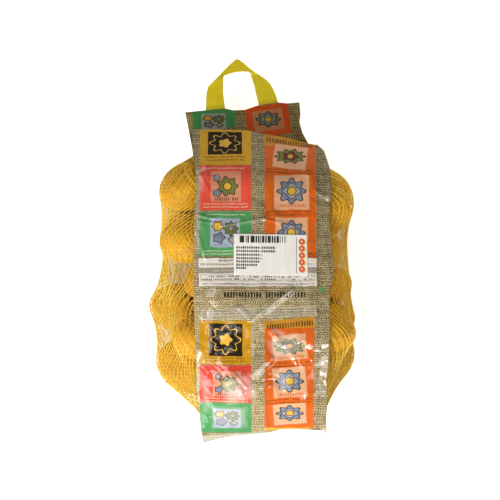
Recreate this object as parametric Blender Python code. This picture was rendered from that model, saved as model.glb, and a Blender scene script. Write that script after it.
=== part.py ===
"""Net of potatoes: a knitted net bag with a printed film band down its front and back.

The bag lies on its back with the front band up. +X is to the right of the front, +Y runs up
to the carrying handle, +Z comes out of the front. The origin is under the middle, on the floor.
Lengths are in metres unless a name says millimetres.
"""

import math

import bmesh
import bpy
import numpy as np
from mathutils import Vector
from mathutils.bvhtree import BVHTree

MM = 0.001

# Potatoes in the net: where each one lies (x, y, z), its length, width and thickness,
# all in millimetres, and the heading of its length from +X and its tilt, in degrees.
POTATOES_MM = [
    # lower layer, from the handle down
    (-48, 22, 31, 70, 60, 56, 20, 4),
    (4, 51, 32, 70, 60, 54, 100, -6),
    (62, 36, 30, 70, 60, 53, 15, 5),
    (-56, -57, 35, 70, 52, 57, 168, 3),
    (-1, -13, 31, 76, 62, 55, 35, -4),
    (66, -41, 34, 72, 54, 56, 20, 6),
    (-3, -80, 31, 74, 64, 56, 95, 5),
    (-61, -115, 34, 74, 56, 59, 155, -5),
    (61, -105, 33, 72, 61, 58, 30, 4),
    (2, -130, 40, 68, 52, 52, 5, 8),
    # small ones between the layers
    (-44, -30, 58, 56, 42, 40, 20, 0),
    (24, 24, 64, 50, 42, 40, 70, 0),
    (34, 77, 57, 50, 40, 40, 10, 0),
    (24, -45, 61, 50, 42, 40, 120, 0),
    (28, -92, 60, 44, 38, 36, 0, 0),
    (-30, 82, 62, 44, 34, 34, 20, 0),
    (68, -3, 56, 42, 36, 38, 90, 0),
    (74, -60, 57, 38, 30, 34, 0, 0),
    # upper layer, from the handle down
    (-54, 66, 74, 62, 52, 58, 25, -8),
    (3, 52, 86, 66, 56, 54, 20, 6),
    (64, 45, 86, 70, 63, 54, 75, -5),
    (-58, 14, 86, 62, 50, 52, 10, 5),
    (2, -2, 94, 62, 56, 52, 160, 4),
    (46, -18, 90, 62, 56, 54, 100, -6),
    (-8, -56, 94, 72, 60, 52, 15, -3),
    (-41, -80, 86, 60, 48, 52, 170, 6),
    (60, -76, 86, 76, 48, 54, 172, 4),
    (6, -108, 88, 68, 58, 54, 60, -10),
    (46, -122, 76, 58, 50, 50, 110, 6),
]
LOWEST_POTATO = 0.0022  # the film, the net and a hair of air lie below it
SETTLE_STEPS = 300
HOME_PULL = 0.01  # share of the way back to its listed place that a potato moves in a step
PUSH_SHARE = 0.3  # share of a crossing that each of the two potatoes gives way in a step
REACH_SHARE = 0.35  # how far two potatoes count as blocks rather than rounds when they meet

# Net bag: its two ends are pressed flat between the films.
NET_TOP_Y = 0.103
NET_BOTTOM_Y = -0.171
NET_END_THICKNESS = 0.0016
NET_RINGS = 50
NET_SIDES = 68
# y, middle x, half width, middle z and half depth of the section that the rays start from, in mm
NET_SECTIONS_MM = [
    (-171, 11, 57, 46.0, 0.8),
    (-162, 8, 62, 48.0, 10.0),
    (-140, 2, 74, 52.0, 34.0),
    (-90, 0, 92, 58.0, 52.0),
    (0, 0, 92, 60.0, 54.0),
    (60, 0, 84, 62.0, 46.0),
    (90, -1, 60, 63.0, 22.0),
    (103, 2, 51, 64.0, 0.8),
]
LENGTHWISE_PULL = 0.62  # share of the net's tension that runs along the bag
START_SCALE = 0.9  # where the net starts from, as a share of the section
RELAX_STEPS = 500
VALLEY_DEPTH = 0.014  # the net dips between the potatoes, at most by VALLEY_SHARE of this
VALLEY_SHARE = 0.6
VALLEY_FADE = 0.045  # it doesn't dip near its pressed ends

# Films
FILM_THICKNESS = 0.0008
FILM_GAP = 0.0006
FILM_COLUMNS = 15
FILM_LENGTHWISE_PULL = 0.68
STRETCH_STEPS = 600
REACH_STEPS = (-0.7, -0.35, 0.0, 0.35, 0.7)  # where a film feels what it lies on, in cells
FRONT_ROWS = 42
BACK_ROWS = 44
HEADER_ROWS = 6  # rows of the back film that stay in the plane of the header
SLACK_UNDER = 0.005  # how far the back film sags to the floor between the potatoes
SLACK_TOP_Y = 0.083  # the slack begins here and at SLACK_BOTTOM_Y, and is full SLACK_FADE further in
SLACK_BOTTOM_Y = -0.161
SLACK_FADE = 0.05
RAY_FROM_ABOVE = 0.3  # heights that the looking rays start from, clear of the bag
RAY_FROM_BELOW = -0.1

# Front film: (y, x) in mm down its left and its right edge
FRONT_LEFT_MM = [
    (123, -61), (102, -60), (82, -57), (61, -56), (37, -58.5), (-8, -58.5), (-48, -59),
    (-78, -57.5), (-118, -56), (-134, -57), (-160, -53.5), (-178, -52), (-191.5, -50),
]
FRONT_RIGHT_MM = [
    (107, 64.5), (101, 71), (84, 76), (71, 77.5), (56, 77.5), (32, 75), (1, 78.5), (-20, 80.5),
    (-40, 75.5), (-78, 76), (-107, 75), (-128, 72.5), (-138, 74.5), (-168, 73), (-182, 74),
]
FRONT_TOP_MM = [(-61, 123), (-22, 122), (-5, 121.5), (8.5, 118.5), (31, 115), (57, 108), (64.5, 107)]
FRONT_BOTTOM_MM = [(-50, -191.5), (-36, -188), (-22, -185), (15, -181.5), (27.5, -178), (67, -177), (74, -182)]
FRONT_BOTTOM_Z = 0.042

# Back film: the header above the net carries the handle
BACK_LEFT_MM = [
    (140, -68), (102, -60.5), (70, -58), (0, -60), (-60, -60), (-120, -57), (-160, -53), (-186, -50),
]
BACK_RIGHT_MM = [
    (150, 46.5), (137, 47.5), (130, 46.5), (119, 49.5), (100, 60), (70, 68), (0, 72), (-60, 74),
    (-120, 72), (-160, 70), (-179, 71),
]
BACK_TOP_MM = [(-68, 140), (-28, 144), (-20, 142), (-8, 142.5), (5, 147), (24, 150), (35, 149), (46.5, 150)]
BACK_BOTTOM_MM = [(-50, -186), (-10, -181), (30, -177), (71, -179)]
HEADER_TOP_Z = 0.046
HEADER_WELD_Z = 0.0615
HEADER_WELD_Y = 0.108
HEADER_TOP_Y = 0.150
BACK_BOTTOM_Z = 0.0415

# Handle: outer and inner edge of the flat tape, (x, y) in mm, from the left foot round to the right
HANDLE_OUTER_MM = [
    (-46, 130), (-46.5, 144), (-46, 157), (-44.5, 164), (-31, 176), (-16.5, 192), (1.5, 179.5),
    (12, 173), (19, 165.5), (23, 156), (25, 146), (28, 132),
]
HANDLE_INNER_MM = [
    (-27.5, 130), (-28, 144), (-29, 157), (-29.3, 170), (-23, 178), (-15, 179.2), (-3.5, 178.8),
    (-2, 176), (0, 168), (2, 160), (5, 147), (8, 132),
]
HANDLE_THICKNESS = 0.0008
HANDLE_STEPS = 3  # stretches between two points of the edges
HANDLE_WIDTH_STEPS = 3
HANDLE_BEND_Y = 0.152  # the tape leaves the plane of the header here
HANDLE_DROOP = 0.55  # how steeply the tape hangs below the header, rise over run
HANDLE_CREASE = 0.0016  # height of the folds across the tape
HANDLE_FOLDS = (3, 5, 7)  # corners of the edges where it is folded

# Paper label on the front film: its corners (x, y) in mm, from top left clockwise
LABEL_CORNERS_MM = [(-18.9, 18.3), (53, 17), (54.5, -24), (-18.9, -22.4)]
LABEL_THICKNESS = 0.0003
LABEL_GAP = 0.0003
LABEL_COLUMNS = 12
LABEL_ROWS = 8

SMOOTH_ANGLE = 50  # degrees; sharper edges stay crisp
NET_YELLOW = (0.80, 0.48, 0.07)
SACKING_BROWN = (0.36, 0.32, 0.20)
SACKING_PALE = (0.40, 0.34, 0.20)
TAPE_YELLOW = (0.62, 0.50, 0.03)
PAPER_WHITE = (0.86, 0.84, 0.80)


def clear_scene():
    for old in list(bpy.data.objects):
        bpy.data.objects.remove(old, do_unlink=True)


def plain_material(name, colour, roughness):
    material = bpy.data.materials.new(name)
    material.use_nodes = True
    shader = material.node_tree.nodes["Principled BSDF"]
    shader.inputs["Base Color"].default_value = (*colour, 1.0)
    shader.inputs["Roughness"].default_value = roughness
    material.diffuse_color = (*colour, 1.0)
    return material


def add_solid(name, points, faces, material):
    """One named object from its points and faces, shaded smooth except at sharp rims."""
    mesh = bpy.data.meshes.new(name)
    mesh.from_pydata([tuple(map(float, p)) for p in points], [], faces)
    edit = bmesh.new()
    edit.from_mesh(mesh)
    bmesh.ops.recalc_face_normals(edit, faces=edit.faces[:])
    edit.to_mesh(mesh)
    edit.free()
    mesh.shade_smooth()
    mesh.set_sharp_from_angle(angle=math.radians(SMOOTH_ANGLE))
    mesh.materials.append(material)
    made = bpy.data.objects.new(name, mesh)
    bpy.context.scene.collection.objects.link(made)
    return made


def tree_of(obj):
    mesh = obj.data
    return BVHTree.FromPolygons([v.co for v in mesh.vertices], [tuple(p.vertices) for p in mesh.polygons])


def smooth_curve(stations, at):
    """Values read from a smooth curve through (place, value, ...) stations, at the given places."""
    table = np.array(sorted(stations), float)
    places, values = table[:, 0], table[:, 1:]
    slopes = np.gradient(values, places, axis=0)
    at = np.clip(np.asarray(at, float), places[0], places[-1])
    right = np.clip(np.searchsorted(places, at), 1, len(places) - 1)
    left = right - 1
    span = (places[right] - places[left])[:, None]
    t = ((at - places[left]) / span[:, 0])[:, None]
    rise = 3 * t**2 - 2 * t**3
    return (
        values[left] * (1 - rise)
        + values[right] * rise
        + span * slopes[left] * (t - 2 * t**2 + t**3)
        + span * slopes[right] * (t**3 - t**2)
    )


# --- potatoes -------------------------------------------------------------------------------


def potato_axes(heading, tilt):
    """The potato's own axes as columns: along its length, its width and its thickness."""
    c, s = math.cos(math.radians(heading)), math.sin(math.radians(heading))
    turn = np.array([[c, -s, 0], [s, c, 0], [0, 0, 1]])
    c, s = math.cos(math.radians(tilt)), math.sin(math.radians(tilt))
    lean = np.array([[c, 0, -s], [0, 1, 0], [s, 0, c]])
    return turn @ lean


def settled_potatoes():
    """Centres, axes and half sizes, after potatoes that would cross have pushed each other apart."""
    rows = np.array(POTATOES_MM, float)
    centres = rows[:, :3] * MM
    halves = rows[:, 3:6] * MM / 2
    axes = np.array([potato_axes(heading, tilt) for heading, tilt in rows[:, 6:8]])
    home = centres.copy()
    low_reach = np.sqrt(((axes[:, 2, :] * halves) ** 2).sum(axis=1))
    for _ in range(SETTLE_STEPS):
        push = (home - centres) * HOME_PULL
        for i in range(len(rows)):
            for j in range(i + 1, len(rows)):
                apart = centres[j] - centres[i]
                distance = np.linalg.norm(apart)
                way = apart / distance
                need = 0.0
                for k in (i, j):
                    own = axes[k].T @ way
                    reach = math.sqrt(((own * halves[k]) ** 2).sum())
                    ray = 1 / math.sqrt(((own / halves[k]) ** 2).sum())
                    need += reach * REACH_SHARE + ray * (1 - REACH_SHARE)
                if need > distance:
                    push[i] -= way * (need - distance) * PUSH_SHARE
                    push[j] += way * (need - distance) * PUSH_SHARE
        centres = centres + push
        centres[:, 2] = np.maximum(centres[:, 2], LOWEST_POTATO + low_reach)
    return centres, axes, halves


# --- net ------------------------------------------------------------------------------------


def net_surface(rings, sides):
    """A grid of points, ring by ring, of a net pulled taut over the potatoes."""
    centres, axes, halves = settled_potatoes()
    ys = np.linspace(NET_BOTTOM_Y, NET_TOP_Y, rings)
    sections = smooth_curve(NET_SECTIONS_MM, ys / MM) * MM
    turn = np.linspace(0, 2 * math.pi, sides, endpoint=False)
    start = np.stack([sections[:, 0], ys, sections[:, 2]], axis=1)
    rays = np.zeros((rings, sides, 3))
    rays[:, :, 0] = sections[:, 1][:, None] * np.cos(turn)
    rays[:, :, 2] = np.maximum(sections[:, 3], NET_END_THICKNESS / 2)[:, None] * np.sin(turn)
    reach = np.zeros((rings, sides))
    for centre, own, half in zip(centres, axes, halves):
        s0 = ((start - centre) @ own) / half
        d = (rays @ own) / half
        a = (d**2).sum(axis=2)
        b = (d * s0[:, None, :]).sum(axis=2)
        c = (s0**2).sum(axis=1)[:, None] - 1
        inside = b**2 - a * c
        root = (-b + np.sqrt(np.maximum(inside, 0))) / a
        reach = np.maximum(reach, np.where(inside > 0, root, 0))
    scale = np.maximum(reach, START_SCALE)
    scale[0] = scale[-1] = 1.0
    reach[0] = reach[-1] = 1.0
    square = (rays**2).sum(axis=2)
    around = (1 - LENGTHWISE_PULL) / 2
    along = LENGTHWISE_PULL / 2
    for _ in range(RELAX_STEPS):
        points = start[:, None, :] + rays * scale[:, :, None]
        mean = (np.roll(points, 1, axis=1) + np.roll(points, -1, axis=1))[1:-1] * around
        mean += (points[:-2] + points[2:]) * along
        pulled = ((mean - start[1:-1, None, :]) * rays[1:-1]).sum(axis=2) / square[1:-1]
        scale[1:-1] = np.maximum(reach[1:-1], pulled)
    length = np.sqrt(square)
    dip = VALLEY_SHARE * VALLEY_DEPTH * (1 - np.exp(-(scale - reach) * length / VALLEY_DEPTH))
    inward = np.clip(np.minimum(NET_TOP_Y - ys, ys - NET_BOTTOM_Y) / VALLEY_FADE, 0, 1)
    facing = np.abs(rays[:, :, 2]) / length  # the two sides of the outline stay taut
    scale -= dip * facing * inward[:, None] / length
    return start[:, None, :] + rays * scale[:, :, None]


def build_net_bag():
    grid = net_surface(NET_RINGS, NET_SIDES)
    points = grid.reshape(-1, 3)
    faces = []
    for ring in range(NET_RINGS - 1):
        for side in range(NET_SIDES):
            after = (side + 1) % NET_SIDES
            a, b = ring * NET_SIDES, (ring + 1) * NET_SIDES
            faces.append((a + side, a + after, b + after))
            faces.append((a + side, b + after, b + side))
    half = NET_SIDES // 2
    for first in (0, (NET_RINGS - 1) * NET_SIDES):
        for side in range(half):
            corners = [first + side, first + side + 1]
            corners += [first + (NET_SIDES - side - 1) % NET_SIDES, first + (NET_SIDES - side) % NET_SIDES]
            faces.append(tuple(dict.fromkeys(corners)))
    return add_solid("net_bag", points, faces, plain_material("net_yellow", NET_YELLOW, 0.5))


# --- films ----------------------------------------------------------------------------------


def edge_points(edge_mm, count, key):
    """Points spread evenly in x (key 0) or y (key 1) along a hand-drawn edge."""
    table = np.array(edge_mm, float)
    at = np.linspace(table[0, 0], table[-1, 0], count)
    order = np.argsort(table[:, 0])
    other = np.interp(at, table[order, 0], table[order, 1])
    pair = (at, other) if key == 0 else (other, at)
    return np.stack(pair, axis=1) * MM


def patch_plan(left_mm, right_mm, top_mm, bottom_mm, rows, columns):
    """A grid of plan points that fills four edges (a Coons patch), from the top row down."""
    left = edge_points(left_mm, rows, 1)[:, None, :]
    right = edge_points(right_mm, rows, 1)[:, None, :]
    top = edge_points(top_mm, columns, 0)[None, :, :]
    bottom = edge_points(bottom_mm, columns, 0)[None, :, :]
    u = np.linspace(0, 1, columns)[None, :, None]
    v = np.linspace(0, 1, rows)[:, None, None]
    corners = (
        top[:, :1] * (1 - u) * (1 - v)
        + top[:, -1:] * u * (1 - v)
        + bottom[:, :1] * (1 - u) * v
        + bottom[:, -1:] * u * v
    )
    return left * (1 - u) + right * u + top * (1 - v) + bottom * v - corners


def surface_height(trees, x, y, from_above):
    """Height of the highest (or lowest) surface of the trees over a plan point, or None."""
    high, way = (RAY_FROM_ABOVE, -1) if from_above else (RAY_FROM_BELOW, 1)
    found = []
    for tree in trees:
        hit = tree.ray_cast(Vector((x, y, high)), Vector((0, 0, way)))[0]
        if hit is not None:
            found.append(hit.z)
    if not found:
        return None
    return max(found) if from_above else min(found)


def limit_under_patch(plan, trees, from_above):
    """For each plan point, the most extreme height that the trees have round it."""
    rows, columns = plan.shape[:2]
    none = -1.0 if from_above else 1.0
    limit = np.full((rows, columns), none)
    pick = max if from_above else min
    for r in range(rows):
        for c in range(columns):
            for dr in REACH_STEPS:
                for dc in REACH_STEPS:
                    r2 = min(max(r + int(np.sign(dr)), 0), rows - 1)
                    c2 = min(max(c + int(np.sign(dc)), 0), columns - 1)
                    at = plan[r, c] + (plan[r2, c] - plan[r, c]) * abs(dr) + (plan[r, c2] - plan[r, c]) * abs(dc)
                    height = surface_height(trees, at[0], at[1], from_above)
                    if height is not None:
                        limit[r, c] = pick(limit[r, c], height)
    return limit


def stretch_over(limit, held, lower):
    """Heights of a film that is held where `held` has a number and is pulled taut over (or under) its limit."""
    rows = limit.shape[0]
    free = np.isnan(held)
    v = np.linspace(0, 1, rows)[:, None]
    z = np.where(free, held[:1] * (1 - v) + held[-1:] * v, held)
    pick = np.minimum if lower else np.maximum
    for _ in range(STRETCH_STEPS):
        padded = np.concatenate([2 * z[:, :1] - z[:, 1:2], z, 2 * z[:, -1:] - z[:, -2:-1]], axis=1)
        across = (padded[:, :-2] + padded[:, 2:]) / 2
        mean = z.copy()
        mean[1:-1] = FILM_LENGTHWISE_PULL * (z[:-2] + z[2:]) / 2 + (1 - FILM_LENGTHWISE_PULL) * across[1:-1]
        z = np.where(free, pick(limit, mean), held)
    return z


def sheet_faces(rows, columns):
    """Faces of a closed thin sheet whose top grid comes first and its bottom grid second."""
    faces = []
    under = rows * columns
    for r in range(rows - 1):
        for c in range(columns - 1):
            a, b = r * columns + c, r * columns + c + 1
            d, e = a + columns, b + columns
            faces += [(a, d, e), (a, e, b)]
            faces += [(under + a, under + e, under + d), (under + a, under + b, under + e)]
    rim = [(0, c) for c in range(columns)] + [(r, columns - 1) for r in range(1, rows)]
    rim += [(rows - 1, c) for c in range(columns - 2, -1, -1)] + [(r, 0) for r in range(rows - 2, 0, -1)]
    for here, there in zip(rim, rim[1:] + rim[:1]):
        a, b = here[0] * columns + here[1], there[0] * columns + there[1]
        faces += [(a, b, under + b), (a, under + b, under + a)]
    return faces


def add_sheet(name, plan, bottom_z, thickness, material):
    rows, columns = plan.shape[:2]
    low = np.concatenate([plan, bottom_z[:, :, None]], axis=2)
    high = low + [0, 0, thickness]
    points = np.concatenate([high.reshape(-1, 3), low.reshape(-1, 3)])
    return add_solid(name, points, sheet_faces(rows, columns), material)


def header_height(y):
    """The header slopes down from the weld towards its free edge."""
    slope = (HEADER_WELD_Z - HEADER_TOP_Z) / (HEADER_TOP_Y - HEADER_WELD_Y)
    return HEADER_WELD_Z - np.maximum(y - HEADER_WELD_Y, 0) * slope


def build_back_film(net_tree):
    plan = patch_plan(BACK_LEFT_MM, BACK_RIGHT_MM, BACK_TOP_MM, BACK_BOTTOM_MM, BACK_ROWS, FILM_COLUMNS)
    ys = plan[:, :, 1]
    limit = limit_under_patch(plan, [net_tree], False) - FILM_GAP - FILM_THICKNESS
    held = np.full(limit.shape, np.nan)
    held[:HEADER_ROWS] = np.minimum(header_height(ys), limit)[:HEADER_ROWS]
    held[-1] = BACK_BOTTOM_Z
    z = stretch_over(limit, held, True)
    middle = np.clip((SLACK_TOP_Y - ys) / SLACK_FADE, 0, 1) * np.clip((ys - SLACK_BOTTOM_Y) / SLACK_FADE, 0, 1)
    z = np.maximum(z - SLACK_UNDER * middle, 0)
    return add_sheet("film_back", plan, z, FILM_THICKNESS, plain_material("film_back_print", SACKING_BROWN, 0.3))


def build_front_film(trees):
    plan = patch_plan(FRONT_LEFT_MM, FRONT_RIGHT_MM, FRONT_TOP_MM, FRONT_BOTTOM_MM, FRONT_ROWS, FILM_COLUMNS)
    limit = limit_under_patch(plan, trees, True) + FILM_GAP
    held = np.full(limit.shape, np.nan)
    held[0] = np.maximum(limit[0], header_height(plan[0, :, 1]) + FILM_THICKNESS + FILM_GAP)
    held[-1] = np.maximum(limit[-1], FRONT_BOTTOM_Z)
    z = stretch_over(limit, held, False)
    return add_sheet("film_front", plan, z, FILM_THICKNESS, plain_material("film_front_print", SACKING_PALE, 0.3))


# --- handle ---------------------------------------------------------------------------------


def build_handle():
    corners = len(HANDLE_OUTER_MM)
    at = np.linspace(0, corners - 1, (corners - 1) * HANDLE_STEPS + 1)
    outer = np.array(HANDLE_OUTER_MM, float) * MM
    inner = np.array(HANDLE_INNER_MM, float) * MM
    index = np.arange(corners)
    rows = []
    for t in at:
        one = np.array([np.interp(t, index, outer[:, k]) for k in (0, 1)])
        two = np.array([np.interp(t, index, inner[:, k]) for k in (0, 1)])
        rows.append([one + (two - one) * s for s in np.linspace(0, 1, HANDLE_WIDTH_STEPS + 1)])
    plan = np.array(rows)
    ys = plan[:, :, 1]
    z = header_height(ys) - FILM_GAP - HANDLE_THICKNESS
    beyond = np.maximum(ys - HANDLE_BEND_Y, 0)
    bend_z = header_height(HANDLE_BEND_Y) - FILM_GAP - HANDLE_THICKNESS
    z = np.where(beyond > 0, bend_z - beyond * HANDLE_DROOP, z)
    for fold in HANDLE_FOLDS:
        z += HANDLE_CREASE * np.clip(1 - np.abs(at - fold), 0, 1)[:, None] * (beyond > 0)
    return add_sheet("handle", plan, z, HANDLE_THICKNESS, plain_material("handle_tape", TAPE_YELLOW, 0.45))


# --- label ----------------------------------------------------------------------------------


def build_label(film_tree):
    a, b, c, d = (np.array(corner) * MM for corner in LABEL_CORNERS_MM)
    u = np.linspace(0, 1, LABEL_COLUMNS)[None, :, None]
    v = np.linspace(0, 1, LABEL_ROWS)[:, None, None]
    plan = a * (1 - u) * (1 - v) + b * u * (1 - v) + c * u * v + d * (1 - u) * v
    z = limit_under_patch(plan, [film_tree], True) + LABEL_GAP
    return add_sheet("label", plan, z, LABEL_THICKNESS, plain_material("label_paper", PAPER_WHITE, 0.5))


def main():
    clear_scene()
    net = tree_of(build_net_bag())
    back = tree_of(build_back_film(net))
    front = build_front_film([net, back])
    build_handle()
    build_label(tree_of(front))


main()
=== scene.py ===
# Net of potatoes: a knitted net tube with a printed film down its front and back, and a tape handle.
# It lies on its back. +X is to the right of the front, +Y runs up to the handle, +Z comes out of the front.
# Lengths are in metres, or in millimetres where a note says so.
import itertools
import math

import bpy
import numpy as np
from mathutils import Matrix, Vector
from mathutils.bvhtree import BVHTree


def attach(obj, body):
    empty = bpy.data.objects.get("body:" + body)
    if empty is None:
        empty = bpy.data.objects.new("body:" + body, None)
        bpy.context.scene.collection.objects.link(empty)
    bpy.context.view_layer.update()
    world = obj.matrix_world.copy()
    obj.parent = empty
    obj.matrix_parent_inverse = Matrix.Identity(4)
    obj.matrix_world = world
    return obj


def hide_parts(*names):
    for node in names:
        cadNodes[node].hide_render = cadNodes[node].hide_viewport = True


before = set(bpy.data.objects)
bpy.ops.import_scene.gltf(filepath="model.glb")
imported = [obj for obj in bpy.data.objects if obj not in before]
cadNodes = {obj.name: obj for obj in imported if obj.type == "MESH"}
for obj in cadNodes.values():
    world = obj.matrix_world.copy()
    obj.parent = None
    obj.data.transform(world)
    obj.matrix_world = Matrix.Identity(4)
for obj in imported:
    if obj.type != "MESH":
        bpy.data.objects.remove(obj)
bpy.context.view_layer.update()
mm = 0.001

view = {
    "camera": (-0.003, 0.002, 5.06),
    "lens": 360.0,
    "farthest": 50,
    "floorSize": 12,
    "floorLevel": -0.0003,
    "floorColour": (0.93, 0.93, 0.93),
    "floorMottle": 0.985,
    "floorGlow": 0.72,
    "floorFinish": {"Roughness": 0.8, "Specular IOR Level": 0.1, "Emission Strength": 1.0},
    # painted shadow where the bag shades the floor: left, right, bottom and top, and corner radius, in cm
    "shaded": [((-9.9, 9.9, -12.5, -2.7), 3.0), ((-9.3, 9.5, -13.4, 7.8), 4.0)],
    "shadeColour": (0.78, 0.7, 0.52),
    "shadeDepth": 0.74,
    "skyColour": (1, 0.975, 0.93),
    "skyStrength": 0.24,
    "lampsLookAt": (0, 0, 0.05),
    # name, place, size in x and y, watts and colour. Lamps light surfaces, and cards only show in reflections
    "lamps": [
        ("keyLamp", (-1.08, -1.89, 1.62), (0.95, 0.75), 70, (1, 0.98, 0.94)),
        ("keyCard", (-1.08, -1.89, 1.62), (1.3, 1), 24, (1, 1, 1)),
        ("frontCard", (-0.5, -2.05, 1.18), (0.6, 0.6), 28, (1, 1, 1)),
        ("fillLamp", (1.7, 1.3, 1.7), (1.2, 1.2), 16, (1, 0.97, 0.92)),
        ("rightCard", (1.28, -1.63, 1.39), (1.2, 1), 26, (1, 1, 1)),
        ("leftCard", (-1.9, -0.1, 0.8), (1.2, 0.4), 12, (1, 1, 1)),
        ("lowCard", (-1, -1.35, 0.3), (1.8, 0.6), 17, (1, 1, 1)),
    ],
}


def deselectAll():
    for other in bpy.context.selected_objects:
        other.select_set(False)


def makeActive(piece):
    deselectAll()
    piece.select_set(True)
    bpy.context.view_layer.objects.active = piece


def addPiece(name, data):
    piece = bpy.data.objects.new(name, data)
    bpy.context.scene.collection.objects.link(piece)
    makeActive(piece)
    return piece


def pointsOf(piece):
    points = np.empty(len(piece.data.vertices) * 3)
    piece.data.vertices.foreach_get("co", points)
    return points.reshape(-1, 3)


# Camera, lamps and floor
bpy.ops.object.camera_add(location=view["camera"], rotation=(0, 0, 0))
camera = bpy.context.object
camera.name = "topCamera"
camera.data.lens = view["lens"]
camera.data.clip_end = view["farthest"]
bpy.context.scene.camera = camera
for lampName, place, size, watts, colour in view["lamps"]:
    bpy.ops.object.light_add(type="AREA", location=place)
    lamp = bpy.context.object
    lamp.name = lampName
    lamp.data.shape = "RECTANGLE"
    lamp.data.size, lamp.data.size_y = size
    lamp.data.energy = watts
    lamp.data.color = colour
    lamp.visible_glossy = lampName.endswith("Card")
    lamp.visible_diffuse = lamp.visible_transmission = not lamp.visible_glossy
    lamp.rotation_mode = "QUATERNION"
    lamp.rotation_quaternion = (Vector(view["lampsLookAt"]) - Vector(place)).to_track_quat("-Z", "Y")
world = bpy.data.worlds.new("paleRoom")
world.use_nodes = True
world.node_tree.nodes["Background"].inputs["Color"].default_value = (*view["skyColour"], 1)
world.node_tree.nodes["Background"].inputs["Strength"].default_value = view["skyStrength"]
bpy.context.scene.world = world
bpy.context.scene.view_settings.view_transform = "Standard"
deselectAll()
bpy.ops.mesh.primitive_plane_add(size=view["floorSize"], location=(0, 0, view["floorLevel"]))
floor = bpy.context.object
floor.name = "paleFloor"
floor.visible_glossy = False
print("camera, lamps and floor are set")


# Node helpers. They add to the node tree in hand, which is called tree
def addNode(kind, inputs=None, **settings):
    node = tree.nodes.new(kind)
    for name, value in settings.items():
        setattr(node, name, value)
    for key, value in (inputs or {}).items():
        if isinstance(value, bpy.types.NodeSocket):
            tree.links.new(value, node.inputs[key])
        else:
            node.inputs[key].default_value = value
    return node


def calc(operation, *values, clamp=False):
    return addNode("ShaderNodeMath", dict(enumerate(values)), operation=operation, use_clamp=clamp).outputs[0]


def add(a, b):
    return calc("ADD", a, b)


def minus(a, b):
    return calc("SUBTRACT", a, b)


def times(first, *others):
    for other in others:
        first = calc("MULTIPLY", first, other)
    return first


def scaled(value, factor, plus, clamp=False):
    return calc("MULTIPLY_ADD", value, factor, plus, clamp=clamp)


def absolute(value):
    return calc("ABSOLUTE", value)


def fraction(value):
    return calc("FRACT", value)


def calcVector(operation, a, b, output=0):
    return addNode("ShaderNodeVectorMath", {0: a, 1: b}, operation=operation).outputs[output]


def ramp(value, low, high, outLow=0.0, outHigh=1.0):
    # a smooth step from outLow at low to outHigh at high
    given = {"Value": value, "From Min": low, "From Max": high, "To Min": outLow, "To Max": outHigh}
    return addNode("ShaderNodeMapRange", given, interpolation_type="SMOOTHSTEP").outputs[0]


def blendColour(amount, under, over, mode="MIX"):
    # a colour is a socket, three numbers or the name of an ink
    given = {0: amount, 6: under, 7: over}
    for key, value in given.items():
        value = inks[value] if isinstance(value, str) else value
        given[key] = (*value, 1.0) if isinstance(value, tuple) else value
    return addNode("ShaderNodeMix", given, data_type="RGBA", blend_type=mode).outputs[2]


def noise(vector, scale, detail=2.0, roughness=0.5, output="Fac"):
    given = {"Vector": vector, "Scale": scale, "Detail": detail, "Roughness": roughness}
    return addNode("ShaderNodeTexNoise", given).outputs[output]


def bands(vector, scale, distortion, detail, direction):
    given = {"Vector": vector, "Scale": scale, "Distortion": distortion, "Detail": detail}
    return addNode("ShaderNodeTexWave", given, bands_direction=direction).outputs["Fac"]


def ownChance(value):
    return addNode("ShaderNodeTexWhiteNoise", {"W": value}, noise_dimensions="1D").outputs["Value"]


def split(vector):
    return addNode("ShaderNodeSeparateXYZ", {0: vector}).outputs


def join(x, y, z=0.0):
    return addNode("ShaderNodeCombineXYZ", {0: x, 1: y, 2: z}).outputs[0]


def readMark(name):
    return addNode("ShaderNodeAttribute", attribute_name=name).outputs["Fac"]


def objectPlace():
    return addNode("ShaderNodeTexCoord").outputs["Object"]


def printedPlace():
    # the sheet's own print place, in mm
    uv = addNode("ShaderNodeUVMap", uv_map="printPlace").outputs["UV"]
    return calcVector("MULTIPLY", uv, (1000.0, 1000.0, 1000.0))


def startGroup(name, inputs, outputs):
    # Place is a vector, and all else are numbers
    group = bpy.data.node_groups.new(name, "ShaderNodeTree")
    for inOut, names in (("INPUT", inputs), ("OUTPUT", outputs)):
        for socketName in names:
            kind = "NodeSocketVector" if socketName == "Place" else "NodeSocketFloat"
            group.interface.new_socket(socketName, in_out=inOut, socket_type=kind)
    return group, group.nodes.new("NodeGroupInput").outputs


def groupNode(group, given):
    return addNode("ShaderNodeGroup", given, node_tree=group).outputs


def startMaterial(name, constants):
    material = bpy.data.materials.new(name)
    material.use_nodes = True
    shader = material.node_tree.nodes["Principled BSDF"]
    for socketName, value in constants.items():
        shader.inputs[socketName].default_value = value
    return material, material.node_tree, shader


def linkTo(socketName, value):
    tree.links.new(value, shader.inputs[socketName])


def linkBump(height, distance, strength=1.0):
    bump = addNode("ShaderNodeBump", {"Height": height, "Distance": distance, "Strength": strength})
    linkTo("Normal", bump.outputs["Normal"])


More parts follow.
